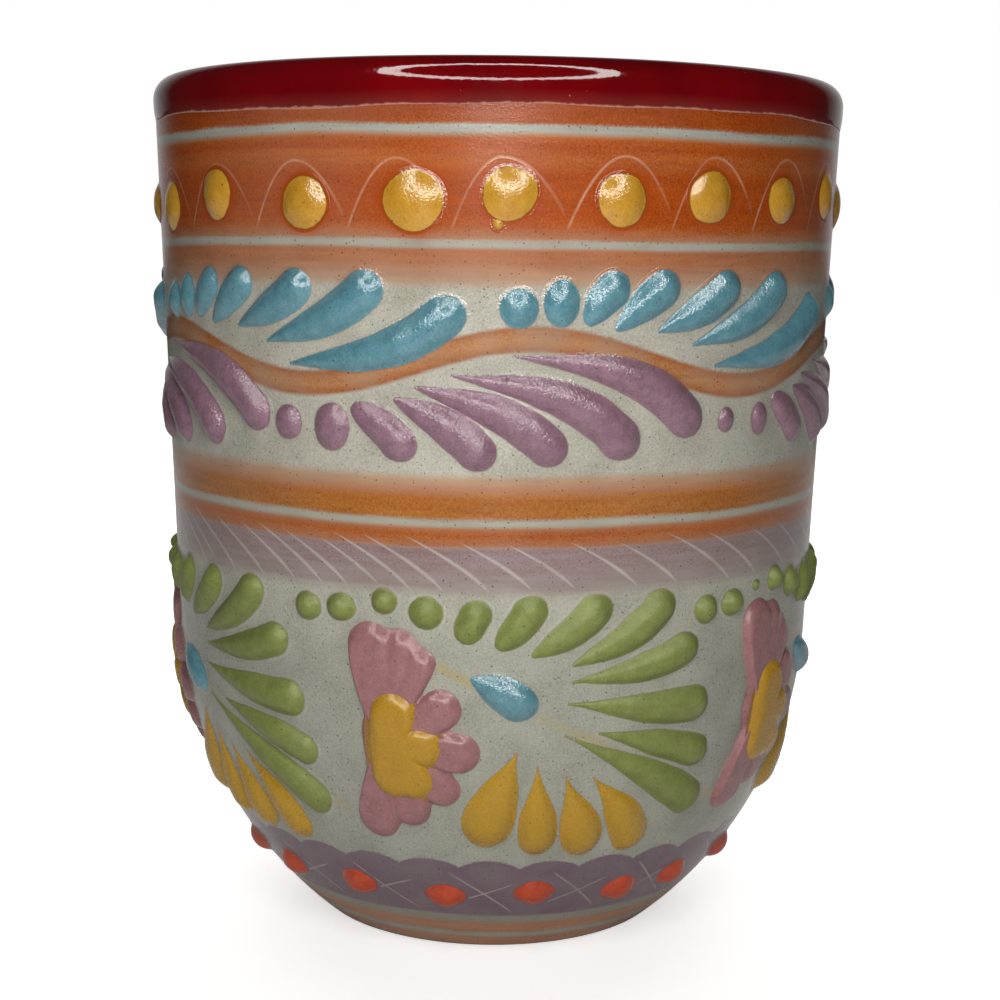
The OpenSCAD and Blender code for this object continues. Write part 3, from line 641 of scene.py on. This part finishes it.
def painted_stoneware(name):
    """Buff stoneware under the wheel painting, with scratched slip work under clear glaze.

    Scratched lines cut through the bands to the pale ground, dark iron specks burn through, and the foot is
    bare.
    """
    material, t = blank(name)
    painted = wheel_painting(t)
    where, angle, tall = painted["where"], painted["angle"], painted["tall"]
    grain, mottle, colour = painted["grain"], painted["mottle"], painted["colour"]

    # Faint yellow-brown stem behind each fan of leaves
    stem = put(t, "Attribute", attribute_name="stem_mm").outputs["Fac"]
    stem = put(t, "Math", stem, operation="ABSOLUTE")
    stem = put(t, "MapRange", stem, 0.2, 0.95, 1.0, 0.0, interpolation_type="SMOOTHSTEP")
    patchy = put(t, "MapRange", mottle, 0.4, 0.6, 0.15, 0.6)
    stem = put(t, "Math", stem, patchy, operation="MULTIPLY")
    colour = put(t, "Mix", data_type="RGBA", sockets={0: stem, 6: colour, 7: linear("#B5A466")}).outputs[2]

    # Ring round each yellow dot: slip that reddened the band, darker at the dot's foot as painted shade
    halo = put(t, "Attribute", attribute_name="dot_halo").outputs["Fac"]
    halo = put(t, "Math", halo, 0.6, operation="MULTIPLY")
    colour = put(t, "Mix", data_type="RGBA", sockets={0: halo, 6: colour, 7: linear("#AE3E08")}).outputs[2]

    # Scratched arches over the yellow dots: a parabola on either side of each arch's top
    run = put(t, "Attribute", attribute_name="arch_run").outputs["Fac"]
    step = put(t, "Math", put(t, "Math", run, 0.5, operation="ADD"), operation="FRACT")
    step = put(t, "Math", step, 0.5, operation="SUBTRACT")
    right = put(t, "Math", step, 1 / ARCH_RIGHT, operation="MULTIPLY")
    left = put(t, "Math", step, -1 / ARCH_LEFT, operation="MULTIPLY")
    span = put(t, "Math", right, left, operation="MAXIMUM")
    square = put(t, "Math", span, span, operation="MULTIPLY")
    top = put(t, "Math", put(t, "Math", angle, operation="SINE"), ARCH_TILT, ARCH_Z, operation="MULTIPLY_ADD")
    curve = put(t, "Math", square, -ARCH_H, top, operation="MULTIPLY_ADD")
    gap = put(t, "Math", put(t, "Math", tall, curve, operation="SUBTRACT"), operation="ABSOLUTE")
    steep = put(t, "Math", put(t, "Math", square, 6.5, 1.0, operation="MULTIPLY_ADD"), operation="SQRT")
    gap = put(t, "Math", gap, steep, operation="DIVIDE")
    arch = put(t, "MapRange", gap, 0.06, 0.2, 1.0, 0.0, interpolation_type="SMOOTHSTEP")
    foot = put(t, "MapRange", tall, *ARCH_FOOT, 0.0, 1.0)
    fade = put(t, "MapRange", step, 0.3, 0.5, 1.0, 0.3)
    arch = put(t, "Math", arch, put(t, "Math", foot, fade, operation="MULTIPLY"), operation="MULTIPLY")
    arch = put(t, "Math", arch, put(t, "MapRange", mottle, 0.4, 0.6, 0.35, 0.75), operation="MULTIPLY")
    arch = put(t, "Math", arch, put(t, "MapRange", grain, 0.35, 0.55, 0.5, 1.0), operation="MULTIPLY")
    colour = put(t, "Mix", data_type="RGBA", sockets={0: arch, 6: colour, 7: linear("#D2A284")}).outputs[2]

    # Slanting hatch scratched through the lilac
    gap = put(t, "Math", put(t, "Attribute", attribute_name="hatch_mm").outputs["Fac"], operation="ABSOLUTE")
    number = put(t, "Math", put(t, "Attribute", attribute_name="hatch_no").outputs["Fac"], operation="ROUND")
    luck = put(t, "TexWhiteNoise", noise_dimensions="1D", sockets={"W": number})
    end = put(t, "Math", luck, 0.9, HATCH_LOW, operation="MULTIPLY_ADD")
    start = put(t, "Math", luck, -1.6, HATCH_HIGH, operation="MULTIPLY_ADD")
    rise = put(t, "MapRange", put(t, "Math", tall, end, operation="SUBTRACT"), 0.0, 1.4, 0.0, 1.0)
    sink = put(t, "MapRange", put(t, "Math", start, tall, operation="SUBTRACT"), 0.0, 3.2, 0.0, 1.0)
    keep = put(t, "Math", rise, sink, operation="MULTIPLY")
    width = put(t, "Math", keep, 0.2, 0.09, operation="MULTIPLY_ADD")
    width = put(t, "Math", width, put(t, "MapRange", grain, 0.3, 0.7, 0.75, 1.25), operation="MULTIPLY")
    hatch = put(t, "MapRange", put(t, "Math", gap, width, operation="DIVIDE"), 0.35, 1.0, 1.0, 0.0)
    patchy = put(t, "MapRange", mottle, 0.35, 0.65, 0.6, 1.0)
    hatch = put(t, "Math", hatch, put(t, "Math", patchy, put(t, "MapRange", keep, 0.0, 0.25, 0.0, 0.75),
                                      operation="MULTIPLY"), operation="MULTIPLY")

    # Crossed scratches between the red dots
    run = put(t, "Attribute", attribute_name="cross_run").outputs["Fac"]
    step = put(t, "Math", put(t, "Math", run, 0.5, operation="ADD"), operation="FRACT")
    away = put(t, "Math", put(t, "Math", step, 0.5, operation="SUBTRACT"), CROSS_SPACE, operation="MULTIPLY")
    up = put(t, "Math", tall, CROSS_Z, operation="SUBTRACT")
    fall = put(t, "Math", away, CROSS_FALL, up, operation="MULTIPLY_ADD")
    fall = put(t, "Math", fall, operation="ABSOLUTE")
    fall = put(t, "Math", fall, math.hypot(1, CROSS_FALL), operation="DIVIDE")
    rise = put(t, "Math", away, -CROSS_RISE, up, operation="MULTIPLY_ADD")
    rise = put(t, "Math", rise, operation="ABSOLUTE")
    rise = put(t, "Math", rise, math.hypot(1, CROSS_RISE), operation="DIVIDE")
    gap = put(t, "Math", fall, rise, operation="MINIMUM")
    cross = put(t, "MapRange", gap, 0.05, 0.16, 1.0, 0.0, interpolation_type="SMOOTHSTEP")
    keep = put(t, "MapRange", put(t, "Math", away, operation="ABSOLUTE"), 2.6, 3.6, 1.0, 0.0)
    cross = put(t, "Math", cross, keep, operation="MULTIPLY")
    cross = put(t, "Math", cross, put(t, "MapRange", mottle, 0.4, 0.6, 0.2, 0.55), operation="MULTIPLY")

    lines = put(t, "Math", hatch, cross, operation="MAXIMUM")
    colour = put(t, "Mix", data_type="RGBA", sockets={0: lines, 6: colour, 7: linear("#C8BEB6")}).outputs[2]
    lines = put(t, "Math", lines, arch, operation="MAXIMUM")

    # Iron specks
    cells = put(t, "TexVoronoi", sockets={"Vector": where, "Scale": per(0.42)})
    small = put(t, "Math", put(t, "SeparateColor", cells.outputs["Color"]), 2.4, operation="POWER")
    small = put(t, "Math", small, 0.26, operation="MULTIPLY")
    speck = put(t, "Math", put(t, "Math", cells.outputs["Distance"], small, operation="LESS_THAN"), 0.7,
                operation="MULTIPLY")
    colour = put(t, "Mix", data_type="RGBA", sockets={0: speck, 6: colour, 7: linear("#4A3B2C")}).outputs[2]

    # Bare clay under the foot
    bare = put(t, "MapRange", tall, 0.15, 0.5, 1.0, 0.0)
    clay = put(t, "Mix", data_type="RGBA",
               sockets={0: painted["tone"], 6: linear("#A98A6C"), 7: linear("#BD9F80")}).outputs[2]
    colour = put(t, "Mix", data_type="RGBA", sockets={0: bare, 6: colour, 7: clay}).outputs[2]

    rough = put(t, "MapRange", grain, 0.3, 0.7, 0.1, 0.22)
    relief = put(t, "Math", lines, -1.2, grain, operation="MULTIPLY_ADD")
    relief = put(t, "Math", painted["streak"], 0.5, relief, operation="MULTIPLY_ADD")
    bump = put(t, "Bump", sockets={"Strength": 0.2, "Distance": 0.0001, "Height": relief})
    shader = put(t, "BsdfPrincipled",
                 sockets={"Base Color": colour, "Roughness": rough, "Normal": bump, "IOR": 1.5})
    put(t, "OutputMaterial", shader)
    return material


# Materials
stoneware = painted_stoneware("painted_stoneware_brushed_and_scratched")
red_rim = coat("red_glaze_dipped", "#7C030A", "#640208", "#C08A78", 0.04, 0.08)
cream_liner = coat("cream_glaze_poured", "#DAD6C8", "#CFCABA", "#C9C2B0", 0.1, 0.02)
# Yellow dots: a stronger painted shade line at the foot, and a fillet red as the stain and shade round them
yellow_slip = raised_slip("yellow_slip_trailed", "#DCA537", "#C68E27", 0.12, under="#AE4C0E", line=0.45)
blue_slip = raised_slip("blue_slip_trailed", "#6EA3B1", "#538897", 0.13, grit=0.07)
violet_slip = raised_slip("violet_slip_trailed", "#A17C8D", "#856473", 0.16, ior=1.7, grit=0.08)
green_slip = raised_slip("green_slip_trailed", "#8F9955", "#788346", 0.42, ior=1.42, grit=0.03)
ochre_slip = raised_slip("ochre_slip_trailed", "#C4982C", "#B88F26", 0.26, ior=1.55, grit=0.006)
heart_slip = raised_slip("ochre_slip_laid_on_pink", "#C4952D", "#B68A25", 0.26, under="#A07048", ior=1.55,
                         grit=0.01)
pink_slip = raised_slip("pink_slip_trailed", "#AF7C7E", "#986B6D", 0.22, ior=1.5, grit=0.03)
red_slip = raised_slip("red_slip_trailed", "#CA4E2B", "#B34022", 0.2, ior=1.6, grit=0.03)

# Clay cup
inner_r = BELLY_R - WALL_T
round_z = FLOOR_T + FLOOR_ROUND
round_off = math.sqrt((inner_r - FLOOR_ROUND) ** 2 - (BELLY_C[1] - round_z) ** 2)
round_c = np.array([BELLY_C[0] + round_off, round_z])
round_a = math.degrees(math.atan2(round_z - BELLY_C[1], round_c[0] - BELLY_C[0]))
lean_deg = math.degrees(LEAN)
foot_a = math.degrees(math.atan2(-BELLY_C[1], FOOT_D / 2 - BELLY_C[0]))
lip_top = CUP_H - LIP_R + LIP_R * WALL_OUT[1]
lip_c = BELLY_TOP + (lip_top - BELLY_H) / WALL_UP[1] * WALL_UP - LIP_R * WALL_OUT
foot_ring_r = FOOT_D / 2 - FOOT_RING_W
outside = np.concatenate([
    arc(BELLY_C, BELLY_R, foot_a + 0.5, -lean_deg, 92),
    BELLY_TOP + np.linspace(0, 1, 112)[1:-1, None] * (lip_c + LIP_R * WALL_OUT - BELLY_TOP)])
profile = np.concatenate([
    np.stack([np.linspace(0, foot_ring_r - FOOT_HOLLOW_H, 7), np.full(7, FOOT_HOLLOW_H)], -1),
    [[foot_ring_r - 0.4, 0.4], [foot_ring_r, 0.1], [foot_ring_r + 0.4, 0]],
    [[FOOT_D / 2 - 0.8, 0], [FOOT_D / 2 - 0.3, 0.05]],
    outside,
    arc(lip_c, LIP_R, -lean_deg, 180 - lean_deg, 10),
    arc(BELLY_C, inner_r, -lean_deg, round_a, 9)[1:],
    arc(round_c, FLOOR_ROUND, round_a, -90, 5)[1:],
    [[0, FLOOR_T]]])
rings, poles = turned(profile, COLS)
cup_points = np.concatenate([rings.reshape(-1, 3), poles])
cup_a = np.degrees(np.arctan2(cup_points[:, 0], -cup_points[:, 1]))
# Red stain and painted shade round each yellow dot, fading out from its edge
round_dot = ((cup_a[:, None] - YELLOW_A + 180) % 360 - 180) * UPPER_MM
from_dot = (np.hypot(round_dot, cup_points[:, 2:] - YELLOW_Z) - YELLOW_R).min(1)
dot_halo = np.exp(-np.clip(from_dot, 0, None) ** 2 / STAIN_AND_SHADE_W ** 2)
body = piece("clay_cup", "body", stoneware, [shell(rings, poles, dot_halo=dot_halo)])


def run_of(angle, marks):
    """How many marks lie before an angle, with parts of a gap in proportion, and marks over three turns."""
    marks = np.sort((np.asarray(marks) + 180) % 360 - 180)
    ticks = np.concatenate([marks - 360, marks, marks + 360])
    return np.interp(angle, ticks, np.arange(len(ticks)) - len(marks)), ticks


def seen_on_wall(pixels):
    """Angle and height on the straight wall behind points of the picture.

    A ray leaves the camera through each point. The wall is a cone, so the distance along the ray is the
    nearer root of a quadratic.
    """
    x, y = (np.array(pixels, float).T / PICTURE_W - 0.5) * SENSOR / LENS
    ray = np.stack([x + LENS_SHIFT * SENSOR / LENS, -y, np.full(len(x), -1.0)], -1)
    ray = ray @ np.array(CAMERA_TURN.to_3x3()).T
    eye = np.array(CAMERA_AT) * 1000
    flare = math.tan(LEAN)
    wall_r = BELLY_D / 2 + (eye[2] - BELLY_H) * flare
    square = (ray[:, :2] ** 2).sum(1) - (flare * ray[:, 2]) ** 2
    half = ray[:, :2] @ eye[:2] - flare * wall_r * ray[:, 2]
    rest = eye[:2] @ eye[:2] - wall_r ** 2
    far = (-half - np.sqrt(half ** 2 - square * rest)) / square
    at = eye + far[:, None] * ray
    return np.degrees(np.arctan2(at[:, 0], -at[:, 1])), at[:, 2]


# Hatching: height of its top, its depth, and how far a line runs to the right and bows on the way down
HATCH_Z, HATCH_H, HATCH_RUN, HATCH_BOW = 54.3, 4.6, 10, 3


def hatch_top(angle, z):
    """Angle at which the hatch line through a point starts, back up its slanted and bowed run."""
    down = (HATCH_Z - z) / HATCH_H
    return angle - HATCH_RUN * down - HATCH_BOW * down * (1 - down)


def with_rest(seen, count, stray):
    """Angles of all marks of a row: the ones seen, then even steps round the back, each strayed by chance."""
    rest = count - len(seen)
    gap = seen[0] + 360 - seen[-1]
    behind = seen[-1] + np.arange(1, rest + 1) * gap / (rest + 1)
    return np.concatenate([seen, behind + chance.uniform(-stray, stray, rest)])


# Where the scratched marks lie: the ones in view as they are in the photograph, the rest spaced by chance
ARCH_TOPS, ARCH_STRAY = [-47.9, -31, -14.6, 0.7, 18.6, 33.6, 50], 1
arch_tops = with_rest(ARCH_TOPS, YELLOW_COUNT, ARCH_STRAY)
# Middle of each hatch line in view, read off: pixels across and down
HATCH_PIXELS = [[202, 533], [221, 544], [242, 544], [268, 547], [294, 552], [320, 557], [348, 557],
                [382, 564], [410, 563], [460, 568], [504, 568], [549, 568], [612, 565], [658, 565],
                [706, 555], [737, 551], [768, 541], [791, 538], [803, 527]]
hatch_front = hatch_top(*seen_on_wall(HATCH_PIXELS))
hatch_gap = hatch_front[0] + 360 - hatch_front[-1]
# Gaps behind, by chance between a narrow and a wide one, then scaled to close the turn
NARROW, WIDE, HATCH_GAPS = 4, 9, 38
steps = np.cumsum(chance.uniform(NARROW, WIDE, HATCH_GAPS))
hatch_tops = np.concatenate([hatch_front, hatch_front[-1] + steps[:-1] / steps[-1] * hatch_gap])
CROSS_MIDS, CROSS_STRAY = [-23.1, -1.1, 19.5], 1.5
cross_mids = with_rest(CROSS_MIDS, RED_COUNT, CROSS_STRAY)

# Each face corner's own angle, so that nothing jumps where the turn closes
loops = np.zeros(len(body.data.loops), np.int32)
body.data.loops.foreach_get("vertex_index", loops)
quad_rows = len(rings) - 1
col = np.tile(np.arange(COLS)[:, None] + [0, 1, 1, 0], (quad_rows, 1)).ravel()
col = np.concatenate([col, np.zeros(len(loops) - len(col), int)])
corner_a = col * 360 / COLS - 180
corner_z = cup_points[loops, 2]
# Each hatch line steepens on its way down, and every face measures to the one line nearest to its middle
down_hatch = (HATCH_Z - corner_z) / HATCH_H
slanted = hatch_top(corner_a, corner_z)
slope = (HATCH_RUN + HATCH_BOW * (1 - 2 * down_hatch)) * UPPER_MM / HATCH_H
quad_count = quad_rows * COLS
face = np.concatenate([np.repeat(np.arange(quad_count), 4), np.repeat(np.arange(2 * COLS), 3) + quad_count])
middle_run, hatch_ticks = run_of((np.bincount(face, slanted) / np.bincount(face))[face], hatch_tops)
hatch_no = np.round(middle_run).astype(int)
hatch_mm = (slanted - hatch_ticks[hatch_no + len(hatch_tops)]) * UPPER_MM / np.hypot(1, slope)
# Stem of each fan: a point on it and its fall in millimetres to a degree
STEM_A, STEM_Z, STEM_FALL = -9.5, 40.5, 19.5 / 54.5
# Angles between which a stem shows, the middle of a fan, and where the turn about a fan starts
STEM_FROM, STEM_TO, FAN_MID, TURN_START = -9, 45, 17, -200
group_a = (corner_a.reshape(-1, 1) - np.array(LEAF_TURNS)[:, 0] - TURN_START) % 360 + TURN_START
nearest = np.abs(group_a - FAN_MID).argmin(1)
stem_a = group_a[np.arange(len(loops)), nearest]
stem_mm = (corner_z - STEM_Z + (stem_a - STEM_A) * STEM_FALL) / math.hypot(1, STEM_FALL / LOWER_MM)
stem_mm = np.where((stem_a < STEM_FROM) | (stem_a > STEM_TO), FAR, stem_mm)
corner_values = {
    "arch_run": run_of(corner_a, arch_tops)[0],
    "hatch_mm": hatch_mm,
    "hatch_no": hatch_no,
    "cross_run": run_of(corner_a, cross_mids)[0],
    "stem_mm": stem_mm,
}
for key, column in corner_values.items():
    body.data.attributes.new(key, "FLOAT", "CORNER").data.foreach_set("value", column.astype(np.float32))

# Rim glaze: it runs out thin at its lower edge, which wavers slightly
rim_low = CUP_H - RIM_OUT_H
start = BELLY_TOP + (rim_low - BELLY_H) / WALL_UP[1] * WALL_UP
end = BELLY_TOP + (CUP_H - RIM_IN_H - BELLY_H) / WALL_UP[1] * WALL_UP - WALL_T * WALL_OUT
lip_out = lip_c + (LIP_R + RIM_T) * WALL_OUT
lip_in = lip_c - (LIP_R + RIM_T) * WALL_OUT
way = np.linspace(0, 1, RIM_ROWS)[:, None]
thick = RIM_T * (1 - 1.05 * (1 - way) ** 3)
rim = np.concatenate([
    start + way * (lip_out - RIM_T * WALL_OUT - start) + thick * WALL_OUT,
    lip_c + (arc(np.zeros(2), LIP_R + RIM_T, -lean_deg, 180 - lean_deg, 28)[1:]
             * [1, (LIP_R + GLAZE_T) / (LIP_R + RIM_T)]),
    lip_in + way[1:] * (end - GLAZE_T * WALL_OUT - lip_in),
    [end + RIM_SINK * WALL_OUT],
    arc(lip_c, LIP_R - RIM_SINK, 180 - lean_deg, -lean_deg, 8),
    [start - RIM_SINK * WALL_OUT]])
rings, _ = turned(rim, RIM_COLS)
run = np.radians(np.arange(RIM_COLS) * 360 / RIM_COLS - 180)
drop = 0.16 * np.sin(3 * run + 0.4) + 0.1 * np.sin(7 * run + 2) + 0.06 * np.sin(17 * run)
near_edge = np.clip(1 - (rim[:, 1] - rim_low) / 4, 0, 1) * (np.arange(len(rim)) < RIM_ROWS)
near_edge[-1] = 1
rings[:, :, 2] += near_edge[:, None] * drop
edge = np.where(np.arange(len(rim)) < RIM_ROWS, rim[:, 1] - rim_low, FAR)
piece("rim_coat", "rim_glaze", red_rim,
      [shell(rings, edge_mm=(edge[:, None] + 0 * run).ravel())])

# Liner glaze
liner = np.concatenate([
    [[0, FLOOR_T + GLAZE_T]],
    np.stack([np.linspace(0, round_c[0], 12)[1:-1], np.full(10, FLOOR_T + GLAZE_T)], -1),
    arc(round_c, FLOOR_ROUND - GLAZE_T, -90, round_a, 16),
    arc(BELLY_C, inner_r - GLAZE_T, round_a, -lean_deg, 60)[1:],
    [end - GLAZE_T * WALL_OUT, end],
    arc(BELLY_C, inner_r + LINER_SINK, -lean_deg, round_a, 20),
    arc(round_c, FLOOR_ROUND + LINER_SINK, round_a, -90, 8)[1:],
    [[0, FLOOR_T - LINER_SINK]]])
rings, poles = turned(liner, LINER_COLS)
piece("liner_coat", "liner_glaze", cream_liner,
      [shell(rings, poles, edge_mm=np.full(rings.shape[0] * rings.shape[1] + len(poles), FAR))])

# Rows of round dots
flat = [0, 0]
yellow = [dot([a, z, r, r], flat, UPPER_MM, YELLOW_RISE * DOT_RELIEF, uneven=YELLOW_UNEVEN)
          for a, z, r in zip(YELLOW_A, YELLOW_Z, YELLOW_R)]
yellow.append(dot(YELLOW_SPLASH, flat, UPPER_MM, SPLASH_RELIEF))
piece("yellow_dots_slip", "yellow_dots", yellow_slip, yellow)
piece("red_dots_slip", "red_dots", red_slip,
      [dot([a, z, RED_HALF_W, RED_HALF_H], flat, BASE_MM, RED_RISE * DOT_RELIEF, pinch=RED_PINCH)
       for a, z in zip(RED_A, RED_Z)])

# A small drop of green slip that fell beside the first fan
splash = dot(GREEN_SPLASH, flat, LOWER_MM, SPLASH_RELIEF)

# Five repeats of the feathers, leaves, drops, petals and flowers
for k in range(len(LEAF_TURNS)):
    n = str(k + 1)
    piece("blue_feathers_slip_" + n, "blue_feathers_" + n, blue_slip,
          [stroke(s, BLUE_TURNS[k], UPPER_MM, FEATHER_RELIEF * e, f)
           for s, e, f in zip(BLUE_STROKES, STROKE_RISE, BLUE_FILL)]
          + [dot(d, BLUE_TURNS[k], UPPER_MM, DOT_RISE * FEATHER_RELIEF) for d in BLUE_DOTS])
    piece("violet_feathers_slip_" + n, "violet_feathers_" + n, violet_slip,
          [stroke(s, VIOLET_TURNS[k], UPPER_MM, FEATHER_RELIEF * e, f)
           for s, e, f in zip(VIOLET_STROKES, STROKE_RISE, VIOLET_FILL)]
          + [dot(d[:2] + [e * VIOLET_DOT_SIZE[k] for e in d[2:]], VIOLET_TURNS[k], UPPER_MM,
                 DOT_RISE * FEATHER_RELIEF * VIOLET_DOT_SIZE[k]) for d in VIOLET_DOTS])
    piece("green_leaves_slip_" + n, "green_leaves_" + n, green_slip,
          [stroke(s, LEAF_TURNS[k], LOWER_MM, LEAF_RELIEF, f) for s, f in zip(LEAF_STROKES, LEAF_FILL)]
          + [dot(d, LEAF_TURNS[k], LOWER_MM, LEAF_RELIEF) for d in LEAF_DOTS]
          + [dot(d, END_DOT_TURNS[k], LOWER_MM, LEAF_RELIEF) for d in END_DOTS]
          + ([splash] if k == 0 else []))
    piece("blue_drop_slip_" + n, "blue_drop_" + n, blue_slip,
          [stroke(s, DROP_TURNS[k], LOWER_MM, LEAF_RELIEF) for s in DROP_STROKES])
    piece("yellow_petals_slip_" + n, "yellow_petals_" + n, ochre_slip,
          [stroke(s, PETAL_TURNS[k], LOWER_MM, LEAF_RELIEF, f) for s, f in zip(PETAL_STROKES, PETAL_FILL)])
    piece("pink_flower_slip_" + n, "pink_flower_" + n, pink_slip,
          [blossom(FLOWER_MID, FLOWER_LOBES, FLOWER_SPINE, FLOWER_NOTCHES, FLOWER_TURNS[k],
                   0.0, FLOWER_RELIEF)])
    piece("flower_heart_slip_" + n, "flower_heart_" + n, heart_slip,
          [blossom(HEART_MID, HEART_LOBES, HEART_SPINE, HEART_NOTCHES, FLOWER_TURNS[k],
                   HEART_BASE, HEART_RELIEF)])

# Camera
camera = bpy.data.objects.new("camera", bpy.data.cameras.new("camera"))
camera.data.sensor_width = SENSOR
camera.data.lens = LENS
camera.data.shift_x = LENS_SHIFT
camera.data.clip_start = 0.01
camera.matrix_world = Matrix.Translation(CAMERA_AT) @ CAMERA_TURN
bpy.context.scene.collection.objects.link(camera)
bpy.context.scene.camera = camera

# Stage, in metres: pale floor that glows to the camera, white surround and a ring light above the camera
SQUARE = ((-1, -1), (1, -1), (1, 1), (-1, 1))
FLOOR_HALF, FLOOR_Z = 3, -5e-5
RING_STEPS, RING_STRENGTH, RING_AIM, LIGHT_AIM = 96, 11.6, (0, 0, 0.09), (0, 0, 0.06)
# Soft lights kept out of reflections, a key in front and two for the far side: place, half sizes, strength
LIGHTS = [
    ["key_light", (-0.003, -0.18, 0.104), 0.022, 0.08, 9.7],
    ["left_back_light", (-0.2, 0.35, 0.35), 0.175, 0.175, 3.3],
    ["right_back_light", (0.2, 0.35, 0.35), 0.175, 0.175, 3.3],
]


def facing(place, target):
    """Directions to the side of and above a light that faces a target."""
    aim = (Vector(target) - place).normalized()
    side = aim.cross(Vector((0, 0, 1))).normalized()
    return side, side.cross(aim)


floor_mesh = bpy.data.meshes.new("floor")
floor_mesh.from_pydata([(FLOOR_HALF * x, FLOOR_HALF * y, FLOOR_Z) for x, y in SQUARE], [], [(0, 1, 2, 3)])
floor = bpy.data.objects.new("floor", floor_mesh)
bpy.context.scene.collection.objects.link(floor)
# Seen from the camera the floor also glows, less near the cup: painted shade round the foot over its real
# shadow. The paper is whiter near the cup, to throw more light onto the foot.
pale, t = blank("floor_paper_and_glow")
seen = put(t, "LightPath").outputs["Is Camera Ray"]
middle = put(t, "TexCoord").outputs["Object"]
reach = put(t, "VectorMath", middle, operation="LENGTH").outputs["Value"]
paper = put(t, "BsdfDiffuse", put(t, "MapRange", reach, 0.04, 0.11, 0.8, 0.5))
camera_glow = put(t, "Emission", (1, 1, 1, 1), put(t, "MapRange", reach, 0.05, 0.13, 0.62, 1.0))
paper_and_glow = put(t, "AddShader", paper, camera_glow)
put(t, "OutputMaterial", put(t, "MixShader", seen, paper, paper_and_glow))
floor_mesh.materials.append(pale)

ring_at, ring_r, ring_w = Vector((0.0, -0.227, 0.26)), 0.158, 0.042
side, above = facing(ring_at, RING_AIM)
a = np.radians(np.arange(RING_STEPS) * 360 / RING_STEPS)[:, None]
circle = np.cos(a) * np.array(side) + np.sin(a) * np.array(above)
band = np.concatenate([np.array(ring_at) + (ring_r + w) * circle for w in (-ring_w / 2, ring_w / 2)])
at = np.arange(RING_STEPS)
beside = np.roll(at, -1)
ring_faces = np.stack([at, beside, beside + RING_STEPS, at + RING_STEPS], -1)
ring_mesh = bpy.data.meshes.new("ring_light")
ring_mesh.from_pydata(band.tolist(), [], ring_faces.tolist())
ring = bpy.data.objects.new("ring_light", ring_mesh)
bpy.context.scene.collection.objects.link(ring)
glow, t = blank("ring_light_diffuser")
put(t, "OutputMaterial", put(t, "Emission", (1, 0.98, 0.95, 1), RING_STRENGTH))
ring_mesh.materials.append(glow)
ring.visible_camera = False
ring.visible_diffuse = False

for name, at, half_w, half_h, strength in LIGHTS:
    at = Vector(at)
    side, above = facing(at, LIGHT_AIM)
    corners = [at + half_w * x * side + half_h * y * above for x, y in SQUARE]
    cloth_mesh = bpy.data.meshes.new(name)
    cloth_mesh.from_pydata(corners, [], [(0, 1, 2, 3)])
    cloth = bpy.data.objects.new(name, cloth_mesh)
    bpy.context.scene.collection.objects.link(cloth)
    soft, t = blank(name + "_cloth")
    put(t, "OutputMaterial", put(t, "Emission", (1, 0.985, 0.96, 1), strength))
    cloth_mesh.materials.append(soft)
    cloth.visible_camera = False
    cloth.visible_glossy = False

world = bpy.data.worlds.new("surround")
bpy.context.scene.world = world
world.use_nodes = True
t = world.node_tree
t.nodes.clear()
seen = put(t, "LightPath").outputs["Is Camera Ray"]
way = put(t, "SeparateXYZ", put(t, "TexCoord").outputs["Generated"])
behind = put(t, "MapRange", way.outputs["Y"], 0.7, 0.95, 0.02, 0.5)
dim = put(t, "Background", (1, 1, 1, 1), behind)
white = put(t, "Background", (1, 1, 1, 1), 1.0)
put(t, "OutputWorld", put(t, "MixShader", seen, dim, white))
bpy.context.scene.view_settings.view_transform = "Standard"
